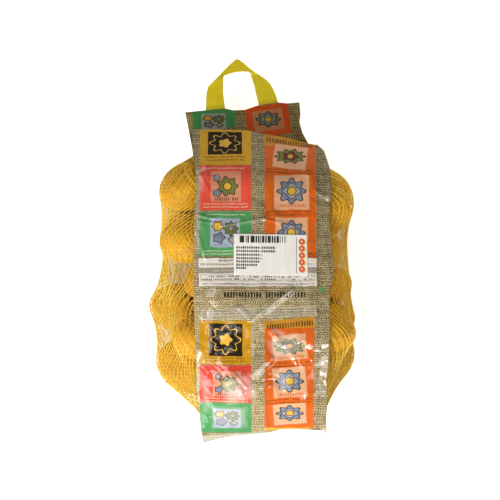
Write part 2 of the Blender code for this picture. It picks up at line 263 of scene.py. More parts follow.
# A rounded rectangle of print: 1 inside, 0 outside
places = ["Place", "Middle X", "Middle Y"]
tree, given = startGroup("printField", places + ["Half Width", "Half Height", "Rise", "Corner"], ["Mask"])
printField = tree
x, y, _ = split(given["Place"])
x, y = minus(x, given["Middle X"]), minus(y, given["Middle Y"])
y = minus(y, times(x, given["Rise"]))
x = add(x, times(y, given["Rise"]))
pastX = add(minus(absolute(x), given["Half Width"]), given["Corner"])
pastY = add(minus(absolute(y), given["Half Height"]), given["Corner"])
outX, outY = calc("MAXIMUM", pastX, 0.0), calc("MAXIMUM", pastY, 0.0)
outside = calc("SQRT", add(times(outX, outX), times(outY, outY)))
inside = calc("MINIMUM", calc("MAXIMUM", pastX, pastY), 0.0)
edge = minus(add(outside, inside), given["Corner"])
addNode("NodeGroupOutput", {"Mask": scaled(edge, -1.6, 0.5, clamp=True)})

# A printed round or flower with a drawn line about it
tree, given = startGroup(
    "inkRound", places + ["Stretch X", "Stretch Y", "Radius", "Line", "Petals", "Petal Depth"], ["Fill", "Outline"]
)
inkRound = tree
x, y, _ = split(given["Place"])
x = times(minus(x, given["Middle X"]), given["Stretch X"])
y = times(minus(y, given["Middle Y"]), given["Stretch Y"])
petal = calc("COSINE", times(calc("ARCTAN2", y, x), given["Petals"]))
petal = scaled(times(petal, given["Petal Depth"]), given["Radius"], given["Radius"])
edge = minus(calc("SQRT", add(times(x, x), times(y, y))), petal)
line = minus(absolute(edge), given["Line"])
fill, outline = scaled(edge, -2.2, 0.5, clamp=True), scaled(line, -2.8, 0.5, clamp=True)
addNode("NodeGroupOutput", {"Fill": fill, "Outline": outline})

# Rows of short printed bars of uneven width and height
tree, given = startGroup("barRow", ["Along", "Level", "Pitch", "Row Pitch", "Bar Height", "Fill"], ["Mask"])
barRow = tree
cellX = calc("DIVIDE", given["Along"], given["Pitch"])
cellY = calc("DIVIDE", given["Level"], given["Row Pitch"])
chance = scaled(calc("FLOOR", cellX), 12.9898, times(calc("FLOOR", cellY), 78.233))
chance = fraction(times(calc("SINE", chance), 437.585))
ownWidth = add(fraction(times(chance, 7.3)), 2.4)
barMask = scaled(absolute(minus(fraction(cellX), 0.5)), -8.0, ownWidth, clamp=True)
barMask = times(barMask, calc("LESS_THAN", chance, given["Fill"]))
ownHeight = scaled(fraction(times(chance, 13.1)), 0.12, 0.88)
halfBar = times(given["Bar Height"], 0.5)
halfOwn = times(halfBar, ownHeight)
tall = times(minus(fraction(cellY), 0.5), given["Row Pitch"])
tall = absolute(add(tall, minus(halfBar, halfOwn)))
addNode("NodeGroupOutput", {"Mask": times(barMask, scaled(minus(tall, halfOwn), -3.3, 0.5, clamp=True))})

# Sacking weave: rows of pale dashes laid like bricks. Tone is 0 in the gaps and 1 on the threads
tree, given = startGroup("sackingWeave", ["Place", "Row", "Dash"], ["Tone", "Height"])
sackingWeave = tree
place = given["Place"]
slubX, slubY, _ = split(noise(place, 0.30, 3.0, 0.6, "Color"))
x, y, _ = split(place)
y = calc("DIVIDE", add(y, times(slubY, 2.2)), given["Row"])
row = calc("FLOOR", y)
rowOwn = ownChance(row)
x = calc("DIVIDE", add(x, times(slubX, 3.0)), given["Dash"])
x = add(x, scaled(row, 0.5, times(rowOwn, 0.35)))
across, dash = (absolute(calc("SINE", times(way, math.pi))) for way in (y, x))
lit = times(across, scaled(dash, 0.75, 0.25), scaled(rowOwn, 0.35, 0.85))
tone = scaled(lit, 0.80, times(noise(place, 0.9, 3.0, 0.75), 1.15))  # threads and fibres
tone = scaled(noise(place, 0.16, 2.0, 0.5), 0.45, tone)  # slow blotches
addNode("NodeGroupOutput", {"Tone": calc("SUBTRACT", tone, 0.72, clamp=True), "Height": lit})

# Fine crumple of thin film, stronger in some parts than in others
tree, given = startGroup("filmCrumple", ["Place", "Size"], ["Height", "Dull"])
filmCrumple = tree
place = given["Place"]
wander = calcVector("MULTIPLY", noise(place, 0.05, 2.0, 0.5, "Color"), (6.0, 6.0, 6.0))
wander = calcVector("ADD", place, wander)
perSize = calc("DIVIDE", 1.0, given["Size"])
facets = [
    addNode("ShaderNodeTexVoronoi", {"Vector": wander, "Scale": scale}, feature="DISTANCE_TO_EDGE").outputs["Distance"]
    for scale in (perSize, times(perSize, 2.3))
]
soft = noise(wander, times(perSize, 1.6), 3.0, 0.55)
where = ramp(noise(place, 0.03, 2.0, 0.5), 0.42, 0.62)
height = add(times(facets[0], 12.0), times(facets[1], 1.8))
height = add(times(height, scaled(where, 0.75, 0.25)), times(soft, 0.8))
addNode("NodeGroupOutput", {"Height": height, "Dull": noise(wander, times(perSize, 0.7), 2.0, 0.6)})
print("shared effects are built")


def fieldMask(box, rise, corner):
    # box: left, right, bottom and top
    left, right, bottom, top = box
    given = {"Place": place, "Middle X": (left + right) / 2, "Middle Y": (bottom + top) / 2, "Rise": rise}
    given.update({"Half Width": (right - left) / 2, "Half Height": (top - bottom) / 2, "Corner": corner})
    return groupNode(printField, given)["Mask"]


# Floor: a painted shadow under the bag, darker, warmer and with less glow there
floorMaterial, tree, shader = startMaterial("paleFloor", view["floorFinish"])
place = objectPlace()
mottled = tuple(view["floorMottle"] * part for part in view["floorColour"])
colour = blendColour(noise(place, 6.0, 3.0), view["floorColour"], mottled)
x, y, _ = split(place)
place = join(times(x, 100.0), times(y, 100.0))
# painted shadow: the mask of the zone under the bag
shaded = calc("MAXIMUM", *(fieldMask(box, 0.0, corner) for box, corner in view["shaded"]))
linkTo("Base Color", blendColour(shaded, colour, view["shadeColour"]))
glow = scaled(shaded, -view["shadeDepth"], 1.0)
linkTo("Emission Color", blendColour(1.0, (view["floorGlow"],) * 3, glow, "MULTIPLY"))
floor.data.materials.append(floorMaterial)


def smoothCurve(stations, at):
    # values read from a smooth curve through (place, value, ...) stations
    table = np.array(stations, float)
    places, values = table[:, 0], table[:, 1:]
    slopes = np.gradient(values, places, axis=0)
    right = np.clip(np.searchsorted(places, at), 1, len(places) - 1)
    left = right - 1
    span = (places[right] - places[left])[:, None]
    t = (at - places[left])[:, None] / span
    rise = 3 * t**2 - 2 * t**3
    bend = span * slopes[left] * (t - 2 * t**2 + t**3) + span * slopes[right] * (t**3 - t**2)
    return values[left] * (1 - rise) + values[right] * rise + bend


def waves(points, seed, count, slowest, fastest):
    # soft seeded noise: a sum of cosine waves, about -1 to 1
    random = np.random.default_rng(seed)
    total = np.zeros(points.shape[:-1])
    for _ in range(count):
        way = random.normal(size=points.shape[-1])
        way *= random.uniform(slowest, fastest) / np.linalg.norm(way)
        total += np.cos(points @ way + random.uniform(0, 2 * math.pi))
    return total / math.sqrt(count)


potatoes = {
    # x, y, z, length, width, thickness in mm, heading and tilt in degrees
    "lower": [
        (-48, 22, 31, 70, 60, 56, 20, 4), (4, 51, 32, 70, 60, 54, 100, -6), (62, 36, 30, 70, 60, 53, 15, 5),
        (-56, -57, 35, 70, 52, 57, 168, 3), (-1, -13, 31, 76, 62, 55, 35, -4), (66, -41, 34, 72, 54, 56, 20, 6),
        (-3, -80, 31, 74, 64, 56, 95, 5), (-61, -115, 34, 74, 56, 59, 155, -5), (61, -105, 33, 72, 61, 58, 30, 4),
        (2, -130, 40, 68, 52, 52, 5, 8), (-44, -30, 58, 56, 42, 40, 20, 0), (24, 24, 64, 50, 42, 40, 70, 0),
        (34, 77, 57, 50, 40, 40, 10, 0), (24, -45, 61, 50, 42, 40, 120, 0), (28, -92, 60, 44, 38, 36, 0, 0),
        (-30, 82, 62, 44, 34, 34, 20, 0), (68, -3, 56, 42, 36, 38, 90, 0), (74, -60, 57, 38, 30, 34, 0, 0),
    ],
    "upper": [
        (-54, 66, 74, 62, 52, 58, 25, -8), (3, 52, 86, 66, 56, 54, 20, 6), (64, 45, 86, 70, 63, 54, 75, -5),
        (-58, 14, 86, 62, 50, 52, 10, 5), (2, -2, 94, 62, 56, 52, 160, 4), (46, -18, 90, 62, 56, 54, 100, -6),
        (-8, -56, 94, 72, 60, 52, 15, -3), (-41, -80, 86, 60, 48, 52, 170, 6), (60, -76, 86, 76, 48, 54, 172, 4),
        (6, -108, 88, 68, 58, 54, 60, -10), (46, -122, 76, 58, 50, 50, 110, 6),
    ],
    "lowest": 2.2,  # mm
    # potatoes that would cross push each other apart, in small steps and with a pull back home
    "settleSteps": 300,
    "homePull": 0.01,
    "push": 0.3,
    "widestShare": 0.35,
    "cuts": {"lower": 23, "upper": 29},
    "lumps": 0.024,
    "fineLumps": 0.004,
    "taper": 0.05,
    "eyes": 9,
    "eyesAtCrown": 5,
    "crownPull": 0.9,
    "crownSpread": 0.4,
    "eyeDepth": 1.1,  # mm
    "eyeRadius": 3.2,  # mm
    "eyeSizes": (0.7, 1.25),
    "eyeMarks": (0.3, 0.9),
    "browHeight": 0.25,  # mm
    "creviceWidth": 9.0,  # mm
    "creviceReach": 0.09,
    "seed": 21,
}


def potatoAxes(heading, tilt):
    c, s = math.cos(math.radians(heading)), math.sin(math.radians(heading))
    turn = np.array([[c, -s, 0], [s, c, 0], [0, 0, 1]])
    c, s = math.cos(math.radians(tilt)), math.sin(math.radians(tilt))
    return turn @ np.array([[c, 0, -s], [0, 1, 0], [s, 0, c]])


def settlePotatoes():
    rows = np.array(potatoes["lower"] + potatoes["upper"], float)
    centres = rows[:, :3] * mm
    halves = rows[:, 3:6] * mm / 2
    axes = np.array([potatoAxes(heading, tilt) for heading, tilt in rows[:, 6:8]])
    home = centres.copy()
    lowReach = np.sqrt(((axes[:, 2, :] * halves) ** 2).sum(axis=1))
    for _ in range(potatoes["settleSteps"]):
        push = (home - centres) * potatoes["homePull"]
        for i, j in itertools.combinations(range(len(rows)), 2):
            apart = centres[j] - centres[i]
            distance = np.linalg.norm(apart)
            way = apart / distance
            need = 0.0
            for k in (i, j):
                own = axes[k].T @ way
                widest = math.sqrt(((own * halves[k]) ** 2).sum())
                straight = 1 / math.sqrt(((own / halves[k]) ** 2).sum())
                need += widest * potatoes["widestShare"] + straight * (1 - potatoes["widestShare"])
            if need > distance:
                push[i] -= way * (need - distance) * potatoes["push"]
                push[j] += way * (need - distance) * potatoes["push"]
        centres = centres + push
        centres[:, 2] = np.maximum(centres[:, 2], potatoes["lowest"] * mm + lowReach)
    return centres, axes, halves


centres, axes, halves = settlePotatoes()
print("potatoes have settled")


def ballMesh(cuts):
    # a cube cut evenly and pushed out to a ball
    deselectAll()
    bpy.ops.mesh.primitive_cube_add(size=2)
    ball = bpy.context.object
    bpy.ops.object.mode_set(mode="EDIT")
    bpy.ops.mesh.select_all(action="SELECT")
    bpy.ops.mesh.subdivide(number_cuts=cuts)
    bpy.ops.object.mode_set(mode="OBJECT")
    points = np.tan(pointsOf(ball) * math.pi / 4)
    points /= np.linalg.norm(points, axis=1)[:, None]
    quads = np.array([tuple(face.vertices) for face in ball.data.polygons])
    bpy.data.objects.remove(ball, do_unlink=True)
    return points, quads


def creviceOf(points, which):
    # 1 where the skin touches another potato, 0 from a few millimetres away; it places the painted shade between
    # potatoes
    nearest = np.full(len(points), np.inf)
    for other, (centre, own, half) in enumerate(zip(centres, axes, halves)):
        if other != which and np.linalg.norm(centre - centres[which]) < potatoes["creviceReach"]:
            local = (points - centre) @ own
            share = np.linalg.norm(local / half, axis=1)
            gap = np.linalg.norm(local, axis=1) * (1 - 1 / share)
            nearest = np.minimum(nearest, gap)
    return np.clip(1 - nearest / mm / potatoes["creviceWidth"], 0, 1)


def makePotatoes(layer, first):
    ball, quads = ballMesh(potatoes["cuts"][layer])
    points, faces = [], []
    marks = {"eyeMark": [], "crevice": [], "ownTint": []}
    for k in range(len(potatoes[layer])):
        which = first + k
        random = np.random.default_rng(potatoes["seed"] + which)
        half = halves[which]
        size = 1 - potatoes["lumps"] * (1 + np.clip(waves(ball, which, 9, 1.5, 4.2), -1, 1))
        size -= potatoes["fineLumps"] * waves(ball, which + 100, 12, 7, 14)
        narrow = 1 - potatoes["taper"] * (0.5 - 0.5 * ball[:, 0] * random.choice((-1, 1)))
        shape = ball * half * np.minimum(size, 1.0)[:, None]
        shape[:, 1:] *= narrow[:, None]
        mark = np.zeros(len(ball))
        spread = potatoes["crownSpread"]
        crown = np.array([random.choice((-1, 1)), random.uniform(-spread, spread), random.uniform(-spread, spread)])
        for eye in range(potatoes["eyes"]):
            at = random.normal(size=3) + crown * (potatoes["crownPull"] if eye < potatoes["eyesAtCrown"] else 0)
            at /= np.linalg.norm(at)
            far = np.arccos(np.clip(ball @ at, -1, 1)) * half.mean() / mm
            radius = potatoes["eyeRadius"] * random.uniform(*potatoes["eyeSizes"])
            brow = np.cross(at, random.normal(size=3))
            brow /= np.linalg.norm(brow)
            side = np.clip(ball @ brow * half.mean() / mm / radius, 0, 1)
            dent = np.exp(-((far / radius) ** 2)) * potatoes["eyeDepth"]
            ridge = np.exp(-(((far - radius * 1.25) / 1.2) ** 2)) * side * potatoes["browHeight"]
            shape -= ball * ((dent - ridge) * mm)[:, None]
            dark = random.uniform(*potatoes["eyeMarks"])
            mark = np.maximum(mark, np.exp(-((far / (radius * 0.55)) ** 2)) * dark)
        points.append(shape @ axes[which].T + centres[which])
        faces.append(quads + k * len(ball))
        marks["eyeMark"].append(mark)
        marks["crevice"].append(creviceOf(points[-1], which))
        tint = np.random.default_rng(potatoes["seed"] * 3 + which).uniform()
        marks["ownTint"].append(np.full(len(ball), tint))
    name = f"potatoes_{layer}"
    mesh = bpy.data.meshes.new(name)
    mesh.from_pydata(np.concatenate(points).tolist(), [], np.concatenate(faces).tolist())
    for markName, values in marks.items():
        mesh.attributes.new(markName, "FLOAT", "POINT").data.foreach_set("value", np.concatenate(values))
    piece = addPiece(name, mesh)
    bpy.ops.object.shade_smooth()
    return piece


potatoSkin = {
    "golden": (0.84, 0.43, 0.008),
    "deep": (0.62, 0.255, 0.005),
    "pale": (0.93, 0.56, 0.025),
    "russet": (0.36, 0.15, 0.025),
    "eye": (0.2, 0.075, 0.012),
    # painted shade for where potatoes touch
    "earth": (0.11, 0.038, 0.004),
    "roughness": (0.34, 0.54),
    "finish": {
        "Specular IOR Level": 0.18, "Subsurface Weight": 0.12, "Subsurface Radius": (0.004, 0.002, 0.0006),
        "Subsurface Scale": 1.0,
    },
    # brown spots that show from the front: x, y and radius in mm, and the lowest they go in m
    "spots": [
        (-92, -50, 1.6), (-86.5, -97, 1.7), (-72, -117, 0.9), (-62, -125, 1.3), (-60.5, -127, 1), (93, 45, 2),
    ],
    "spotsAbove": 0.035,
}
skinMaterial, tree, shader = startMaterial("potatoSkin", potatoSkin["finish"])
place = objectPlace()
broad, fine = noise(place, 38.0, 3.0, 0.55), noise(place, 260.0, 4.0, 0.65)
colour = blendColour(ramp(broad, 0.36, 0.66), potatoSkin["deep"], potatoSkin["golden"])
colour = blendColour(times(ramp(fine, 0.45, 0.75), 0.55), colour, potatoSkin["pale"])
colour = blendColour(times(readMark("ownTint"), 0.25), colour, potatoSkin["pale"])
freckle = addNode("ShaderNodeTexVoronoi", {"Vector": place, "Scale": 210.0}).outputs["Distance"]
freckle = times(ramp(freckle, 0.17, 0.06), ramp(noise(place, 60.0, 2.0), 0.42, 0.58))
colour = blendColour(times(freckle, 0.65), colour, potatoSkin["russet"])
scurf = ramp(noise(place, 75.0, 6.0, 0.7), 0.60, 0.74)
colour = blendColour(times(scurf, 0.45), colour, potatoSkin["russet"])
colour = blendColour(times(readMark("eyeMark"), 0.55), colour, potatoSkin["eye"])
# painted shade: the skin is darkened where it touches another potato
crevice = times(ramp(readMark("crevice"), 0.1, 0.85), ramp(broad, 0.25, 0.55, 0.75, 1.0))
colour = blendColour(crevice, colour, potatoSkin["earth"])
x, y, z = split(place)
flat = join(x, y)
for spotX, spotY, spotRadius in potatoSkin["spots"]:
    far = calcVector("DISTANCE", flat, (spotX * mm, spotY * mm, 0), "Value")
    far = add(far, times(minus(fine, 0.5), 0.0016))
    here = ramp(far, spotRadius * mm, spotRadius * 0.4 * mm)
    here = times(here, calc("GREATER_THAN", z, potatoSkin["spotsAbove"]), 0.85)
    colour = blendColour(here, colour, potatoSkin["eye"])
linkTo("Base Color", colour)
linkTo("Roughness", ramp(fine, 0.3, 0.7, *potatoSkin["roughness"]))
skinHeight = add(times(fine, 0.6), times(noise(place, 900.0, 3.0), 0.25))
linkBump(minus(skinHeight, times(freckle, 0.5)), 0.0005, 0.7)

for layer, first in (("lower", 0), ("upper", len(potatoes["lower"]))):
    piece = makePotatoes(layer, first)
    piece.data.materials.append(skinMaterial)
    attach(piece, "root")
    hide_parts("net_bag")
print("potatoes are made")

net = {
    "topY": 0.103,
    "bottomY": -0.171,
    "endThickness": 0.0016,
    # y, middle x, half width, middle z and half depth of the section that the rays start from, in mm
    "sections": [
        (-171, 11, 57, 46, 0.8), (-162, 8, 62, 48, 10), (-140, 2, 74, 52, 34), (-90, 0, 92, 58, 52),
        (0, 0, 92, 60, 54), (60, 0, 84, 62, 46), (90, -1, 60, 63, 22), (103, 2, 51, 64, 0.8),
    ],
    # the net is pulled taut first on a coarse grid and then on a fine one: rings, sides and steps
    "coarse": (50, 68, 500),
    "fine": (197, 272, 260),
    "firstScale": 0.9,
    "lengthwisePull": 0.74,
    "frontPull": 0.18,
    "strands": 104,
    "turns": 0.385,
    "steps": 118,
    "radius": 0.38,  # mm
    "stand": 0.45,  # mm
    "drift": 0.0018,
    "knots": 0.16,
    "knotTurn": 2.1,
    "seed": 4,
    # the strands of each hand are thin on one side of the bag and thick on the other
    "thin": 0.85,
    "thick": 1.2,
    "thinToThick": 0.05,
    "colour": (1, 0.71, 0.1),
    "deep": (0.98, 0.61, 0.05),
    "knitColour": (1, 0.68, 0.12),
    "finish": {
        "Roughness": 0.42, "Specular IOR Level": 0.25, "Subsurface Weight": 0.5,
        "Subsurface Radius": (0.0008, 0.0006, 0.0003), "Subsurface Scale": 1.0,
    },
}


def netReach(rings, sides):
    # for each ray from the middle of the bag, how far out the potatoes come on it
    ys = np.linspace(net["bottomY"], net["topY"], rings)
    sections = smoothCurve(net["sections"], ys / mm) * mm
    turn = np.linspace(0, 2 * math.pi, sides, endpoint=False)
    start = np.stack([sections[:, 0], ys, sections[:, 2]], axis=1)
    rays = np.zeros((rings, sides, 3))
    rays[:, :, 0] = sections[:, 1][:, None] * np.cos(turn)
    rays[:, :, 2] = np.maximum(sections[:, 3], net["endThickness"] / 2)[:, None] * np.sin(turn)
    reach = np.zeros((rings, sides))
    for centre, own, half in zip(centres, axes, halves):
        begin = ((start - centre) @ own) / half
        way = (rays @ own) / half
        a = (way**2).sum(axis=2)
        b = (way * begin[:, None, :]).sum(axis=2)
        c = (begin**2).sum(axis=1)[:, None] - 1
        inside = b**2 - a * c
        root = (-b + np.sqrt(np.maximum(inside, 0))) / a
        reach = np.maximum(reach, np.where(inside > 0, root, 0))
    reach[0] = reach[-1] = 1.0
    return start, rays, reach


def relax(start, rays, reach, scale, steps):
    # pulls the net taut over the potatoes
    scale[0] = scale[-1] = 1.0
    square = (rays**2).sum(axis=2)
    facing = np.clip(rays[1:-1, :, 2:] / np.sqrt(square[1:-1, :, None]), 0, 1)
    pull = net["lengthwisePull"] + net["frontPull"] * facing
    around, along = (1 - pull) / 2, pull / 2
    for _ in range(steps):
        points = start[:, None, :] + rays * scale[:, :, None]
        mean = (np.roll(points, 1, axis=1) + np.roll(points, -1, axis=1))[1:-1] * around
        mean += (points[:-2] + points[2:]) * along
        pulled = ((mean - start[1:-1, None, :]) * rays[1:-1]).sum(axis=2) / square[1:-1]
        scale[1:-1] = np.maximum(reach[1:-1], pulled)
    return scale


coarseRings, coarseSides, coarseSteps = net["coarse"]
rings, sides, steps = net["fine"]
start, rays, reach = netReach(coarseRings, coarseSides)
coarse = relax(start, rays, reach, np.maximum(reach, net["firstScale"]), coarseSteps)
start, rays, reach = netReach(rings, sides)
ringAt = np.linspace(0, coarseRings - 1, rings)
ringLow = np.minimum(ringAt.astype(int), coarseRings - 2)
ringLean = (ringAt - ringLow)[:, None]
byRing = coarse[ringLow] * (1 - ringLean) + coarse[ringLow + 1] * ringLean
sideAt = np.arange(sides) * coarseSides / sides
sideLow = sideAt.astype(int)
sideLean = (sideAt % 1)[None, :]
scale = byRing[:, sideLow] * (1 - sideLean) + byRing[:, (sideLow + 1) % coarseSides] * sideLean
scale = relax(start, rays, reach, np.maximum(scale, reach), steps)
netGrid = start[:, None, :] + rays * scale[:, :, None]
alongWay = np.gradient(netGrid, axis=0)
aroundWay = np.roll(netGrid, -1, axis=1) - np.roll(netGrid, 1, axis=1)
netNormal = np.cross(aroundWay, alongWay)
netNormal /= np.maximum(np.linalg.norm(netNormal, axis=2), 1e-9)[:, :, None]
netNormal *= np.sign(((netGrid - start[:, None, :]) * netNormal).sum())
print("net surface is found")

ringNumber, sideNumber = np.meshgrid(np.arange(rings - 1), np.arange(sides), indexing="ij")
one = ringNumber * sides + sideNumber
two = ringNumber * sides + (sideNumber + 1) % sides
netQuads = np.stack([one, two, two + sides, one + sides], axis=2).reshape(-1, 4)
netTree = BVHTree.FromPolygons(netGrid.reshape(-1, 3).tolist(), netQuads.tolist())

# even steps round each ring, counted from the middle of the back, and along the bag
turned, turnedNormal = (np.roll(grid, -(sides * 3 // 4), axis=1) for grid in (netGrid, netNormal))
loop, loopNormal = (np.concatenate([grid, grid[:, :1]], axis=1) for grid in (turned, turnedNormal))
stepAround = np.linalg.norm(np.diff(loop, axis=1), axis=2)
roundShare = np.concatenate([np.zeros((rings, 1)), np.cumsum(stepAround, axis=1)], axis=1)
roundShare /= roundShare[:, -1:]
stepAlong = np.linalg.norm(np.diff(loop, axis=0), axis=2).mean(axis=1)
lengthShare = np.concatenate([[0], np.cumsum(stepAlong)])
lengthShare /= lengthShare[-1]


def onNet(share, roundAt):
    # points and normals on the net at a share of its length and of the way round
    ring = np.interp(share, lengthShare, np.arange(rings))
    low = min(int(ring), rings - 2)
    lean = ring - low
    found = []
    for table in (loop, loopNormal):
        below, above = (
            np.array([np.interp(roundAt % 1, roundShare[r], table[r, :, k]) for k in range(3)]).T
            for r in (low, low + 1)
        )
        found.append(below * (1 - lean) + above * lean)
    return found


def makeStrands(name, lean, radiusLeft, radiusRight):
    data = bpy.data.curves.new(name, "CURVE")
    data.dimensions = "3D"
    data.bevel_depth = net["radius"] * mm
    data.bevel_resolution = 0
    count = net["strands"]
    swayA, swayB, _ = np.random.default_rng(net["seed"]).normal(size=(count, 3)).T
    lift = net["stand"] * (1.0 + 0.5 * lean) * mm
    places, sideways = [], []
    for share in np.linspace(0, 1, net["steps"]):
        drift = net["drift"] * (swayA * math.cos(7 * share) + swayB * math.sin(13 * share))
        points, normals = onNet(share, np.arange(count) / count + lean * net["turns"] * share + drift * lean)
        places.append(points + normals * lift)
        sideways.append(points[:, 0])
    places, sideways = np.stack(places, axis=1), np.stack(sideways, axis=1)
    rightShare = np.clip(sideways / net["thinToThick"], -1, 1) * 0.5 + 0.5
    for k in range(count):
        spline = data.splines.new("POLY")
        spline.points.add(net["steps"] - 1)
        spline.points.foreach_set("co", np.insert(places[k], 3, 1.0, axis=1).ravel())
        knots = 1 + net["knots"] * np.cos(np.arange(net["steps"]) * net["knotTurn"] + k)
        radius = radiusLeft * (1 - rightShare[k]) + radiusRight * rightShare[k]
        spline.points.foreach_set("radius", radius * knots)
    addPiece(name, data)
    bpy.ops.object.convert(target="MESH")
    piece = bpy.context.object
    piece.name = name
    bpy.ops.object.shade_smooth()
    return piece


netMaterial, tree, shader = startMaterial("netStrand", net["finish"])
place = objectPlace()
colour = blendColour(ramp(noise(place, 90.0, 2.0), 0.35, 0.65), net["deep"], net["colour"])
knit = bands(place, 700.0, 3.0, 2.0, "Y")
linkTo("Base Color", blendColour(times(knit, 0.18), colour, net["knitColour"]))
linkBump(knit, 0.0002, 0.6)
for name, lean, left, right in (
    ("net_strands_right_handed", 1, net["thin"], net["thick"]),
    ("net_strands_left_handed", -1, net["thick"], net["thin"]),
):
    piece = makeStrands(name, lean, left, right)
    piece.data.materials.append(netMaterial)
    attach(piece, "root")
    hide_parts("net_bag")
    print(name, len(piece.data.polygons) * 2, "triangles")


